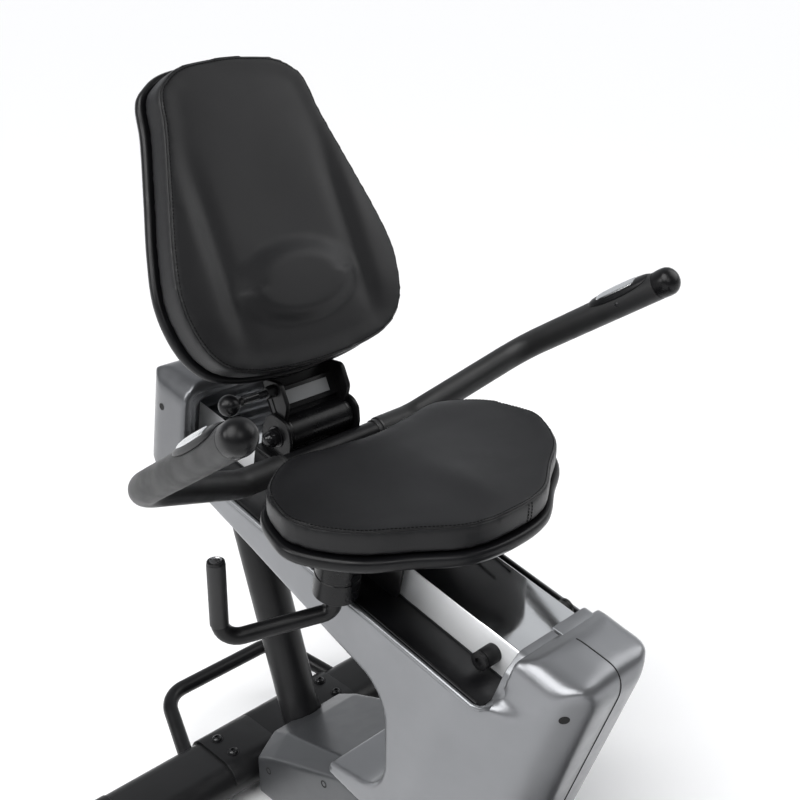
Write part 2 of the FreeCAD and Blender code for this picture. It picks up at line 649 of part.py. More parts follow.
def carriage_frame():
    """A channel that straddles the rail, the block under the seat and the seat lever's socket."""
    plate = d.carriage_plate
    rise = d.carriage_rise
    length = d.carriage_front - d.carriage_rear
    body = Part.makeBox(length, 2 * d.carriage_half, plate, Vector(d.carriage_rear, -d.carriage_half, rise))
    for side in SIDES.values():
        inner = side * d.carriage_half - (plate if side > 0 else 0)
        body = body.fuse(Part.makeBox(length, plate, d.carriage_drop + rise + plate,
                                      Vector(d.carriage_rear, inner, -d.carriage_drop)))
    body = body.cut(Part.makeBox(78, 300, 24, Vector(d.carriage_rear - 1, -150, -d.carriage_drop - 1)))
    block = Part.makeBox(118, 96, 200, Vector(18, -48, rise + plate))
    bar_at = d.hinge_at + d.handle_ahead
    cradle = Part.makeBox(28, 2 * d.carriage_half - 20, 8, Vector(bar_at - 13, 10 - d.carriage_half, rise + plate))
    cradle = cradle.cut(Part.makeCylinder(d.handle_radius + 0.15, 300,
                                          Vector(bar_at, -150, rise + plate + d.handle_radius), AXIS_Y))
    socket = Part.makeCylinder(d.lever_socket_radius, 200, Vector(d.lever_at, -d.lever_y, -36))
    web = Part.makeBox(30, d.lever_y - 40, 200, Vector(d.lever_at - 15, -d.lever_y, 22))
    above = Part.makeBox(900, 900, 900, Vector(-450, -450, -d.pad_band - d.pan_height))
    above.Placement = RAIL.inverse().multiply(SEAT)
    body = body.fuse(block).fuse(cradle).fuse(socket.fuse(web).cut(Part.makeBox(400, 2 * d.carriage_half - 1, 60,
                                                                  Vector(-100, -d.carriage_half, -60))))
    body = body.cut(above)
    bore = Part.makeCylinder(d.lever_radius + d.running_gap, 34, Vector(d.lever_at, -d.lever_y, -37))
    body = body.cut(bore)
    for at in (d.roller_rear_at, d.roller_front_at):
        room = Part.makeBox(2 * d.roller_radius + 2, 2 * d.roller_half + 2, 60,
                            Vector(at - d.roller_radius - 1, -d.roller_half - 1, -20))
        hole = Part.makeCylinder(d.roller_axle + d.running_gap, 300, Vector(at, -150, d.roller_radius + 0.3),
                                 AXIS_Y)
        body = body.cut(room).cut(hole)
    node(shape_of(body.removeSplitter()), "carriage_frame", "rail")


def carriage_rollers():
    for end in ("rear", "front"):
        axis = (f"roller_{end}_at", "roller_radius + 0.3")
        roller = rod((axis[0], "-roller_half", axis[1]), "roller_radius", "2 * roller_half", "y")
        axle = rod((axis[0], "-carriage_half - 2", axis[1]), "roller_axle", "2 * carriage_half + 4", "y")
        node(join(roller, axle), f"{end}_roller", "rail")


SEAT_HALF = [(1.04, 0), (0.97, 0.30), (0.69, 0.55), (0.40, 0.81), (-0.05, 0.985), (-0.38, 0.975),
             (-0.74, 0.87), (-1.02, 0.60), (-0.95, 0.28), (-0.90, 0)]


def seat_face(grow):
    """The seat's kidney outline: its shape is a share of the seat's own length and half width."""
    points = [(along * (d.seat_front + grow), across * (d.seat_half_width + grow))
              for along, across in SEAT_HALF]
    return smooth_face(half_pad(points), "xy")


def seat():
    pad = seat_face(0).extrude(Vector(0, 0, d.pad_band - d.fit_gap + d.pad_crown))
    pad.translate(Vector(0, 0, -d.pad_band + d.fit_gap))
    pan = seat_face(d.pan_lip).extrude(Vector(0, 0, d.pan_height))
    pan.translate(Vector(0, 0, -d.pad_band - d.pan_height))
    node(shape_of(pad), "seat_pad", "seat")
    node(shape_of(pan), "seat_pan", "seat")


def hinge():
    """The backrest hinge: base plate, flanges and pin on the carriage."""
    top = "carriage_rise + carriage_plate"
    plate = box(("hinge_at - 32", "-carriage_half", top), ("58", "2 * carriage_half", "5"))
    flanges = []
    for side in SIDES.values():
        start = "barrel_half + 1" if side > 0 else "-barrel_half - 1 - flange_plate"
        flanges.append(rod(("hinge_at", start, "hinge_rise"), "flange_radius", "flange_plate", "y"))
        flanges.append(box(("hinge_at - 24", start, top), ("48", "flange_plate", f"hinge_rise - ({top})")))
    bore = rod(("hinge_at", "-barrel_half - 20", "hinge_rise"), "pin_radius + fit_gap",
               "2 * barrel_half + 40", "y")
    node(cut(join(plate, *flanges), bore), "hinge_base", "rail")
    end = "barrel_half + 1 + flange_plate"
    shaft = rod(("hinge_at", f"-({end})", "hinge_rise"), "pin_radius", f"2 * ({end})", "y")
    heads = []
    for side in SIDES.values():
        start = end if side > 0 else f"-({end}) - 8"
        heads.append(rod(("hinge_at", start, "hinge_rise"), "13", "8", "y"))
        heads.append(ball(("hinge_at", f"{side} * ({end} + 8)", "hinge_rise"), "11"))
    node(join(shaft, *heads), "hinge_pin", "rail")


def side_handles():
    """The side handlebar, its sleeves, pulse sensors and end caps."""
    tubes, sleeves, caps, housings, plates = [], [], [], [], []
    rise = d.carriage_rise + d.carriage_plate + d.handle_radius
    base = RAIL.multVec(Vector(d.hinge_at + d.handle_ahead, 0, rise))
    runs = {}
    for side in SIDES.values():
        corner = Vector(d.handle_corner_x, side * d.handle_corner_y, d.handle_corner_z)
        end = Vector(d.handle_end_x, side * d.handle_end_y, d.handle_end_z)
        elbow = Vector(base.x, side * d.handle_root, base.z)
        runs[side] = [elbow, corner, end]
        start = Vector(base.x, side * d.handle_sleeve, base.z)
        sleeves.append(tube_along([start, elbow, corner, end], [d.handle_bend, d.handle_bend], d.grip_radius,
                                  d.handle_radius + 0.15))
        ahead = (end - corner).normalize()
        cap = Part.makeCylinder(d.grip_radius + 1.5, 10, end + ahead * d.fit_gap, ahead)
        cap = cap.fuse(Part.makeSphere(d.grip_radius + 1.5, end + ahead * (10 + d.fit_gap)))
        cap = cap.cut(Part.makeCylinder(60, 60, end + ahead * (d.fit_gap - 60), ahead))
        caps.append(cap)
        start = end - ahead * (d.sensor_length + 14)
        ring = Part.makeCylinder(d.grip_radius + 5, d.sensor_length, start, ahead)
        ring = ring.cut(Part.makeCylinder(d.grip_radius + 0.15, 400, end - ahead * 300, ahead))
        upper = Part.makeBox(400, 60, 60, Vector(-200, -30, 4))
        upper.Placement = Placement(end, Rotation(AXIS_X, ahead))
        ring = ring.common(upper)
        housings.append(ring)
        for across in (-1, 1):
            strip = Part.makeCylinder(d.grip_radius + 6.4, d.sensor_length - 30, start + ahead * 15, ahead)
            strip = strip.cut(Part.makeCylinder(d.grip_radius + 5.05, 400, end - ahead * 300, ahead))
            window = Part.makeBox(400, 13, 40, Vector(-200, 2 if across > 0 else -15, 12))
            window.Placement = Placement(end, Rotation(AXIS_X, ahead))
            plates.append(strip.common(window))
    tubes.append(tube_along(runs[-1][::-1] + runs[1], [d.handle_bend] * 4, d.handle_radius))
    for shapes, label in ((tubes, "side_handlebar"), (sleeves, "handle_grips"), (caps, "handle_end_caps"),
                          (housings + plates, "pulse_sensors")):
        node(shape_of(Part.makeCompound(shapes)), label)


def seat_lever():
    """The bent rod that frees the carriage: a stub in its socket, an arm and an upright grip."""
    pivot = RAIL.multVec(Vector(d.lever_at, -d.lever_y, -8))
    below = RAIL.multVec(Vector(d.lever_at, -d.lever_y, -58))
    corner = Vector(below.x - 66, -d.lever_reach, below.z - 18)
    grip = corner + Vector(2, 0, d.lever_grip_length)
    node(shape_of(tube_along([pivot, below, corner, grip], [16, 16], d.lever_radius)), "seat_lever")


# ---- backrest ----

BACK_HALF = [(1.0, 0), (0.985, 0.38), (0.945, 0.57), (0.90, 0.645), (0.80, 0.69), (0.62, 0.81), (0.45, 0.925),
             (0.31, 0.99), (0.19, 0.965), (0.10, 0.875), (0.045, 0.72), (0.014, 0.45), (0.0, 0)]


def back_face(grow):
    """The backrest's outline: its shape is a share of its own height and half width."""
    middle = d.back_height / 2
    stretch = (middle + grow) / middle
    points = [((share * d.back_height - middle) * stretch + middle, across * (d.back_half_width + grow))
              for share, across in BACK_HALF]
    return smooth_face(half_pad(points), "zy")


def backrest():
    pad = back_face(0).extrude(Vector(d.back_band - d.fit_gap + d.back_crown, 0, 0))
    pad.translate(Vector(-d.back_band + d.fit_gap, 0, 0))
    shell = back_face(4).extrude(Vector(-d.back_shell, 0, 0))
    shell.translate(Vector(-d.back_band, 0, 0))
    node(shape_of(pad), "back_pad", "back")
    node(shape_of(shell), "back_shell", "back")


def back_bracket():
    """The hinge barrel, two ears and the plate behind the backrest shell."""
    hinge_point = BACK.inverse().multVec(RAIL.multVec(Vector(d.hinge_at, 0, d.hinge_rise)))
    axis = Vector(hinge_point.x, -d.barrel_half, hinge_point.z)
    behind = -d.back_band - d.back_shell
    body = Part.makeCylinder(d.barrel_radius, 2 * d.barrel_half, axis, AXIS_Y)
    for side in SIDES.values():
        start = d.barrel_half - 7 if side > 0 else -d.barrel_half
        body = body.fuse(Part.makeBox(42, 7, -2 - hinge_point.z, Vector(behind - d.back_plate, start,
                                                                     hinge_point.z)))
    body = body.fuse(Part.makeBox(d.back_plate, 2 * d.barrel_half, 190,
                                  Vector(behind - d.back_plate, -d.barrel_half, hinge_point.z)))
    body = body.fuse(Part.makeBox(5, 2 * d.barrel_half, 32, Vector(-62, -d.barrel_half, -50)))
    bore = Part.makeCylinder(d.pin_radius + d.running_gap, 400, axis - AXIS_Y * 100, AXIS_Y)
    pull = Part.makeCylinder(5 + d.running_gap, 60, Vector(-50, -d.barrel_half - 20, -19), AXIS_Y)
    nut = Part.makeCylinder(9, 14, Vector(-50, -d.barrel_half - 14, -19), AXIS_Y)
    node(shape_of(body.cut(bore).fuse(nut).cut(pull).removeSplitter()), "back_bracket", "back")


def recline_knob():
    shaft = rod(("-50", "-knob_y", "-19"), "5", "knob_y - barrel_half + 20", "y")
    node(join(shaft, ball(("-50", "-knob_y", "-19"), "knob_radius")), "recline_knob", "back")


# ---- drive ----

def crank_post():
    """The post on the beam that carries the crank's bearing tube."""
    tube = rod(("crank_x", "-34", "crank_z"), "26", "68", "y")
    post = slab("25", "crank_x - 25", "crank_x + 25", BEAM_TOP, "crank_z")
    bore = rod(("crank_x", "-40", "crank_z"), "20", "80", "y")
    node(cut(join(tube, post), bore), "crank_post")
    bearings = []
    for side in SIDES.values():
        start = "22" if side > 0 else "-34"
        ring = rod(("crank_x", start, "crank_z"), "20", "12", "y")
        bearings.append(cut(ring, rod(("crank_x", f"{start} - 1", "crank_z"), "axle_radius + running_gap",
                                      "14", "y")))
    node(gather(*bearings), "crank_bearings")


def crank_set():
    """Axle, drive pulley and arms; the spindles that carry the pedals are screwed in the arms."""
    node(rod(("crank_x", "-arm_gap - arm_plate", "crank_z"), "axle_radius", "2 * arm_gap + 2 * arm_plate",
             "y"), "crank_axle")
    disc = rod(("crank_x", "pulley_y", "crank_z"), "pulley_radius", "belt_width", "y")
    hub = rod(("crank_x", "pulley_y - 4", "crank_z"), "24", "belt_width + 8", "y")
    bore = rod(("crank_x", "0", "crank_z"), "axle_radius", "100", "y")
    windows = []
    for number in range(5):
        angle = math.radians(72 * number)
        windows.append(rod((f"crank_x + {math.cos(angle):.4f} * pulley_radius * 0.6", "0",
                            f"crank_z + {math.sin(angle):.4f} * pulley_radius * 0.6"), "22", "100", "y"))
    node(cut(join(disc, hub), bore, *windows), "drive_pulley")
    arms = []
    for side in SIDES.values():
        reach = -side
        low = "arm_gap" if side > 0 else "-arm_gap - arm_plate"
        hub = rod(("0", low, "0"), "19", "arm_plate", "y")
        tip = rod((f"{reach} * crank_length", low, "0"), "15", "arm_plate", "y")
        blade_x = "0" if reach > 0 else "-crank_length"
        blade = box((blade_x, low, "-13"), ("crank_length", "arm_plate", "26"))
        hole = rod(("0", f"{low} - 1", "0"), "axle_radius", "arm_plate + 2", "y")
        spindle_low = "arm_gap + arm_plate" if side > 0 else "-arm_gap - arm_plate - pedal_width - 4"
        spindle = rod((f"{reach} * crank_length", spindle_low, "0"), "spindle_radius", "pedal_width + 4", "y")
        arms.append(join(cut(join(hub, tip, blade), hole), spindle))
    node(gather(*arms), "crank_arms", "crank")


def pedals():
    turn = math.radians(d.crank_angle)
    for name, side in SIDES.items():
        reach = -side
        x = f"crank_x + {reach * math.cos(turn):.6f} * crank_length"
        z = f"crank_z - {reach * math.sin(turn):.6f} * crank_length"
        low = "arm_gap + arm_plate + 3" if side > 0 else "-arm_gap - arm_plate - 3 - pedal_width"
        body = box((f"{x} - pedal_length / 2", low, f"{z} - pedal_height / 2 - 3"),
                   ("pedal_length", "pedal_width", "pedal_height"))
        tread = box((f"{x} - pedal_length / 2 + 8", f"{low} + 6", f"{z} + pedal_height / 2 - 3"),
                    ("pedal_length - 16", "pedal_width - 12", "3"))
        bore = rod((x, f"{low} - 5", z), "spindle_radius + running_gap", "pedal_width + 10", "y")
        node(cut(join(body, tread), bore), f"{name}_pedal")


def belt():
    """A closed belt round both pulleys, a hair clear of them."""
    gap = d.fit_gap
    big = Vector(d.crank_x, d.pulley_y, d.crank_z)
    small = Vector(d.flywheel_x, d.pulley_y, d.flywheel_z)

    def loop(grow):
        line = small - big
        base = math.atan2(line.z, line.x)
        spread = math.acos((d.pulley_radius - d.small_pulley_radius) / line.Length)
        points = []
        for centre, radius, angles in (
                (big, d.pulley_radius + gap + grow, (base + spread, base + math.pi, base + 2 * math.pi - spread)),
                (small, d.small_pulley_radius + gap + grow, (base - spread, base, base + spread))):
            points.append([centre + Vector(math.cos(a), 0, math.sin(a)) * radius for a in angles])
        around_big, around_small = points
        edges = [Part.Arc(*around_big).toShape(),
                 Part.LineSegment(around_big[2], around_small[0]).toShape(),
                 Part.Arc(*around_small).toShape(),
                 Part.LineSegment(around_small[2], around_big[0]).toShape()]
        return Part.Face(Part.Wire(edges))

    ring = loop(d.belt_plate).cut(loop(0))
    node(shape_of(ring.extrude(Vector(0, d.belt_width, 0))), "drive_belt")
    return small, big


def idler():
    """The wheel under the belt's lower run, on a stud from the fork."""
    big = Vector(d.crank_x, 0, d.crank_z)
    small = Vector(d.flywheel_x, 0, d.flywheel_z)
    line = small - big
    spread = math.acos((d.pulley_radius - d.small_pulley_radius) / line.Length)
    angle = math.atan2(line.z, line.x) - spread
    outward = Vector(math.cos(angle), 0, math.sin(angle))
    along = (small + outward * d.small_pulley_radius - big - outward * d.pulley_radius)
    spot = big + outward * (d.pulley_radius + 2 * d.fit_gap + d.belt_plate + d.idler_radius) + along * 0.55
    wheel = Part.makeCylinder(d.idler_radius, d.belt_width, Vector(spot.x, d.pulley_y, spot.z), AXIS_Y)
    wheel = wheel.cut(Part.makeCylinder(5 + d.running_gap, 400, Vector(spot.x, -200, spot.z), AXIS_Y))
    node(shape_of(wheel), "idler_wheel")
    return spot


def flywheel_fork(idler_spot):
    """Two plates and a cross block that carry the flywheel, the idler's stud and the mast."""
    body = None
    for side in SIDES.values():
        low = d.fork_half if side > 0 else -d.fork_half - d.fork_plate
        plate = Part.makeBox(70, d.fork_plate, d.fork_top - beam_top, Vector(d.flywheel_x - 38, low, beam_top))
        body = plate if body is None else body.fuse(plate)
    block = Part.makeBox(80, 2 * d.fork_half, 16, Vector(d.flywheel_x - 70, -d.fork_half, d.fork_top - 16))
    foot = Part.makeBox(70, 2 * d.fork_half, 5, Vector(d.flywheel_x - 38, -d.fork_half, beam_top))
    arm = Part.makeBox(d.flywheel_x - idler_spot.x, d.fork_plate, 24,
                       Vector(idler_spot.x - 12, d.fork_half, idler_spot.z - 12))
    stud = Part.makeCylinder(5, d.fork_half - d.pulley_y + 4, Vector(idler_spot.x, d.pulley_y - 4, idler_spot.z),
                             AXIS_Y)
    pivot = magnet_pivot()
    pin = Part.makeCylinder(4, d.fork_half + 2, Vector(pivot.x, -d.fork_half - 2, pivot.z), AXIS_Y)
    lug = Part.makeBox(30, 6, d.fork_top - pivot.z + 8, Vector(pivot.x - 15, -d.fork_half, pivot.z - 8))
    body = body.fuse(block).fuse(foot).fuse(arm).fuse(stud).fuse(pin).fuse(lug)
    hole = Part.makeCylinder(6, 400, Vector(d.flywheel_x, -200, d.flywheel_z), AXIS_Y)
    node(shape_of(body.cut(hole).removeSplitter()), "flywheel_fork")
    node(rod(("flywheel_x", "-fork_half - fork_plate - 8", "flywheel_z"), "6 - running_gap",
             "2 * fork_half + 2 * fork_plate + 16", "y"), "flywheel_axle")


def flywheel():
    low = "-flywheel_width - 6"
    rim = cut(rod(("flywheel_x", low, "flywheel_z"), "flywheel_radius", "flywheel_width", "y"),
              rod(("flywheel_x", f"{low} - 1", "flywheel_z"), "flywheel_radius - 26", "10", "y"),
              rod(("flywheel_x", f"{low} + flywheel_width - 9", "flywheel_z"), "flywheel_radius - 26", "10",
                  "y"))
    hub = rod(("flywheel_x", low, "flywheel_z"), "16", "pulley_y + belt_width + flywheel_width + 6", "y")
    pulley = rod(("flywheel_x", "pulley_y", "flywheel_z"), "small_pulley_radius", "belt_width", "y")
    bore = rod(("flywheel_x", "-100", "flywheel_z"), "6", "200", "y")
    node(cut(join(rim, hub, pulley), bore), "flywheel")


def magnet_carrier():
    """The arc of magnets that swings towards the flywheel's rim to brake it."""
    centre = Vector(d.flywheel_x, -d.flywheel_width - 6, d.flywheel_z)
    inner = d.flywheel_radius + 3
    ring = Part.makeCylinder(inner + 12, d.flywheel_width, centre, AXIS_Y)
    ring = ring.cut(Part.makeCylinder(inner, d.flywheel_width, centre, AXIS_Y))
    wedge = side_face([(0, 0, 0), (-100, 300, 0), (-300, 100, 0)]).extrude(Vector(0, 200, 0))
    wedge.translate(Vector(d.flywheel_x, -100, d.flywheel_z))
    arc = ring.common(wedge)
    pivot = magnet_pivot()
    lug = Part.makeCylinder(12, d.flywheel_width, Vector(pivot.x, centre.y, pivot.z), AXIS_Y)
    hole = Part.makeCylinder(4 + d.running_gap, 200, Vector(pivot.x, -100, pivot.z), AXIS_Y)
    node(shape_of(arc.fuse(lug).cut(hole)), "magnet_carrier")


def magnet_pivot():
    angle = math.radians(114)
    reach = d.flywheel_radius + 17
    return Vector(d.flywheel_x + math.cos(angle) * reach, 0, d.flywheel_z + math.sin(angle) * reach)


# ---- mast and console ----

def mast():
    half = d.mast_size / 2
    tube = Part.makeBox(d.mast_size, d.mast_size, 900, Vector(-half, -half, -60))
    tube = tube.cut(Part.makeBox(d.mast_size - 6, d.mast_size - 6, 900, Vector(3 - half, 3 - half, -60)))
    tube.Placement = MAST
    below = Part.makeBox(400, 400, 300, Vector(d.mast_foot_x - 200, -200, d.fork_top - 300))
    front = Part.makeBox(600, 600, 900, Vector(d.console_depth - 600, -300, -150))
    over = Part.makeBox(600, 600, 400, Vector(-200, -300, 60))
    front.Placement = CONSOLE
    over.Placement = CONSOLE
    node(shape_of(tube.cut(below).cut(front).cut(over)), "mast")


def front_handlebar():
    """A fixed handlebar on the mast, swept back towards the rider."""
    up = d.bar_tube_z - d.fork_top
    axis_x = d.mast_foot_x - up * math.tan(math.radians(d.mast_lean))
    centre_x = axis_x - d.mast_size / 2 / math.cos(math.radians(d.mast_lean)) - d.bar_tube_radius + 2
    half = d.bar_tube_half
    points = [Vector(centre_x - 140, -half, d.bar_tube_z + 55), Vector(centre_x - 20, -half, d.bar_tube_z + 20),
              Vector(centre_x, -half + 80, d.bar_tube_z), Vector(centre_x, half - 80, d.bar_tube_z),
              Vector(centre_x - 20, half, d.bar_tube_z + 20), Vector(centre_x - 140, half, d.bar_tube_z + 55)]
    block = Part.makeBox(d.mast_size, d.mast_size, 900, Vector(-d.mast_size / 2, -d.mast_size / 2, 0))
    block.Placement = MAST
    tube = tube_along(points, [38] * 4, d.bar_tube_radius)
    node(shape_of(tube.cut(block)), "front_handlebar")


BUTTONS = {"mode_button": -1, "start_button": 0, "reset_button": 1}


def console():
    half = d.console_half
    outline = rounded([Vector(0, y, z) for y, z in ((-half + 22, -112), (half - 22, -112), (half, 118),
                                                    (-half, 118))], [28, 28, 34, 34])
    body = Part.Face(outline).extrude(Vector(d.console_depth, 0, 0))
    body = body.cut(Part.makeBox(4, 2 * d.screen_half + 0.6, 116, Vector(-0.5, -d.screen_half - 0.3, -24)))
    for place in BUTTONS.values():
        body = body.cut(Part.makeCylinder(d.button_radius + d.fit_gap, 16,
                                          Vector(-2, place * d.button_gap, -68), AXIS_X))
    node(shape_of(body), "console_housing", "console")
    node(box(("1", "-screen_half", "-23.7"), ("2.5", "2 * screen_half", "115.4")), "console_screen", "console")
    for name, place in BUTTONS.items():
        node(rod(("-3", f"{place} * button_gap", "-68"), "button_radius", "13", "x"), name, "console")


# ---- transport wheels ----

def transport_wheels():
    wheel_x = "half_length - wheel_radius"
    brackets = []
    for name, side in SIDES.items():
        low = "front_bar_half" if side > 0 else "-front_bar_half - 12"
        plate = box(("front_bar_x - front_bar_width / 2", low, "foot_height"),
                    (f"{wheel_x} + 14 - front_bar_x + front_bar_width / 2", "12", "bar_height"))
        pin_low = "front_bar_half + 12" if side > 0 else "-front_bar_half - 12 - wheel_width - 6"
        pin = rod((wheel_x, pin_low, "wheel_z"), "wheel_axle", "wheel_width + 6", "y")
        head_low = "front_bar_half + 14 + wheel_width" if side > 0 else "-front_bar_half - 18 - wheel_width"
        head = rod((wheel_x, head_low, "wheel_z"), "10", "4", "y")
        brackets.append(join(plate, pin, head))
        rim_low = "front_bar_half + 13" if side > 0 else "-front_bar_half - 13 - wheel_width"
        rim = rod((wheel_x, rim_low, "wheel_z"), "wheel_radius", "wheel_width", "y")
        bore = rod((wheel_x, f"{rim_low} - 1", "wheel_z"), "wheel_axle + running_gap", "wheel_width + 2", "y")
        node(cut(rim, bore), f"{name}_transport_wheel")
    node(gather(*brackets), "wheel_brackets")


def build():
    base_beam()
    stabilisers()
    rubber_feet()
    saddle()
    lift_handle()
    rear_column()
    rail_post()
    rail()
    rail_end_cap()
    seat_housing()
    rear_shroud()
    step_cover()
    drive_housing()
    housing_screws()
    carriage_frame()
    carriage_rollers()
    seat()
    hinge()
    side_handles()
    seat_lever()
    backrest()
    back_bracket()
    recline_knob()
    crank_post()
    crank_set()
    pedals()
    belt()
    flywheel_fork(idler())
    flywheel()
    magnet_carrier()
    mast()
    front_handlebar()
    console()
    transport_wheels()


def check_and_write():
    """Stop if anything failed to compute, then write each sub-part to its own file."""
    for item in doc.Objects:
        if "Invalid" in item.State or "Error" in item.State:
            raise ValueError(f"{item.Label} failed: {item.State}")
    os.makedirs("parts", exist_ok=True)
    for item in nodes:
        if item.Shape.isNull() or not item.Shape.isValid() or not item.Shape.Solids:
            raise ValueError(f"{item.Label} has no valid shape")
        item.Shape.exportStep(os.path.join("parts", item.Label + ".step"))
    print(len(nodes), "sub-parts")


build()
doc.recompute()
check_and_write()
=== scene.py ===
import bpy
import bmesh
import json
from math import atan2, cos, degrees, exp, hypot, pi, radians, sin, sqrt, tan
from mathutils import Matrix, Vector
from mathutils.bvhtree import BVHTree


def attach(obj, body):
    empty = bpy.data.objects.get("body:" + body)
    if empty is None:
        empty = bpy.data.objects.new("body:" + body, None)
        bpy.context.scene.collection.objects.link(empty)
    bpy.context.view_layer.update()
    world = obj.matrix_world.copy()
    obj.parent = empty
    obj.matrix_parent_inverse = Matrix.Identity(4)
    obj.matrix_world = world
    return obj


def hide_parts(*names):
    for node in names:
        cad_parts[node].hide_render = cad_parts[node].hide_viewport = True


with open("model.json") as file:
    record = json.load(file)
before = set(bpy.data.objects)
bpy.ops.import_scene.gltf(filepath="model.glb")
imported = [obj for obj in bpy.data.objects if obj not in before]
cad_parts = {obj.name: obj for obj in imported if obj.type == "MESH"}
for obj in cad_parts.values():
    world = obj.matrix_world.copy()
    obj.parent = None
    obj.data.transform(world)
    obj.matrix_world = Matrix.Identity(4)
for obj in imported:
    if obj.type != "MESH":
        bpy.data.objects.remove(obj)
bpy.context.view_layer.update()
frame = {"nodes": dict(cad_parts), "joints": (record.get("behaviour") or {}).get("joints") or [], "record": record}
NODES = frame["nodes"]
JOINTS = {joint["name"]: joint for joint in frame["joints"]}
BODY_OF = {node: name for name, nodes in frame["record"]["behaviour"]["bodies"].items() for node in nodes}


# ---- frames: the same ones the frame's pieces are drawn in ----

def placed(origin, angle):
    return Matrix.Translation(origin) @ Matrix.Rotation(radians(angle), 4, "Y")


RAIL_ANGLE = degrees(atan2(-JOINTS["seat_slide"]["axis"][2], JOINTS["seat_slide"]["axis"][0]))
HINGE = Vector(JOINTS["backrest_recline"]["pos_m"])
HINGE_AT, HINGE_RISE = -0.107, 0.045
RAIL = placed(HINGE, RAIL_ANGLE) @ Matrix.Translation((-HINGE_AT, 0, -HINGE_RISE))
BACK = placed(HINGE + Vector((0.0288, 0, 0.1013)), -25.24)
SEAT = placed((-0.325, 0, 0.660), 4)
CRANK = Vector(JOINTS["crank_spin"]["pos_m"])
CONSOLE = placed((0.470, 0, 1.120), 25)
COLUMN = placed((-0.5966, 0, 0.078), -18.75)
MAST = placed((0.638, 0, 0.440), -12.7)
WORLD = Matrix.Identity(4)
SIDES = {"right": -1, "left": 1}


# ---- materials ----

def textured(name, color, rough, metal=0.0, tone=0.12, tone_scale=9.0, rough_spread=0.12, grain=600.0,
             grain_depth=0.00004, leather=False, coat=0.0, coat_rough=0.1, stretch=None, seam=False,
             specular=0.5, wear=0.0, side_rough=None, side_metal=1.0):
    """A surface with large soft tone changes, uneven gloss, a fine grain and, if asked, a sewn seam."""
    material = bpy.data.materials.new(name)
    material.use_nodes = True
    tree = material.node_tree
    shader = tree.nodes["Principled BSDF"]

    def feed(socket, value):
        if isinstance(value, bpy.types.NodeSocket):
            tree.links.new(value, socket)
        else:
            socket.default_value = value

    def node(kind, output, inputs, **settings):
        made = tree.nodes.new("ShaderNode" + kind)
        for key, value in settings.items():
            setattr(made, key, value)
        for key, value in inputs.items():
            feed(made.inputs[key], value)
        return made.outputs[output]

    def noise(scale, detail=3.0):
        return node("TexNoise", "Fac", {"Scale": scale, "Detail": detail, "Vector": place})

    def ramp(source, low, high, start=0.35, end=0.65):
        return node("MapRange", "Result", {"Value": source, "From Min": start, "From Max": end,
                                           "To Min": low, "To Max": high})

    def mix(factor, first, second):
        return node("Mix", 2, {0: factor, 6: first, 7: second}, data_type="RGBA")

    def tinted(factor, lift=0.0):
        return tuple(min(1, c * factor + lift) for c in color) + (1,)

    place = node("TexCoord", "Object", {})
    if stretch:
        turned_to = node("Mapping", "Vector", {"Vector": place, "Rotation": (0, radians(-stretch[1]), 0)})
        place = node("Mapping", "Vector", {"Vector": turned_to, "Scale": stretch[0]})
    base = mix(ramp(noise(tone_scale), 0, 1), tinted(1 - tone), tinted(1 + tone))
    if wear:
        edge = ramp(node("NewGeometry", "Pointiness", {}), 0, wear, 0.52, 0.6)
        base = mix(edge, base, tinted(2.2, 0.05))
    if leather:
        cells = node("TexVoronoi", "Distance", {"Scale": grain, "Vector": place}, feature="DISTANCE_TO_EDGE")
        fine = ramp(cells, 0, 1, 0.0, 0.35)
    else:
        fine = noise(grain, 2.0)
    gloss = ramp(noise(tone_scale * 5), rough - rough_spread / 2, rough + rough_spread / 2)
    if side_rough:
        upward = node("SeparateXYZ", "Z", {"Vector": node("TexCoord", "Normal", {})})
        gloss = ramp(upward, side_rough, gloss, 0.5, 0.8)
        metal = ramp(upward, side_metal, metal, 0.5, 0.8)
    normal = node("Bump", "Normal", {"Strength": 0.6, "Distance": grain_depth, "Height": fine})
    if seam:
        away = node("Math", 0, {0: node("Attribute", "Fac", {}, attribute_name="seam")}, operation="ABSOLUTE")
        base = mix(ramp(away, 1, 0, 0.0001, 0.0012), base, tinted(0.25))
        normal = node("Bump", "Normal", {"Strength": 0.9, "Distance": 0.0012, "Normal": normal,
                                         "Height": ramp(away, 0, 1, 0.0002, 0.0022)})
    for key, value in (("Base Color", base), ("Roughness", gloss), ("Metallic", metal), ("Normal", normal),
                       ("Specular IOR Level", specular), ("Coat Weight", coat),
                       ("Coat Roughness", coat_rough)):
        feed(shader.inputs[key], value)
    return material


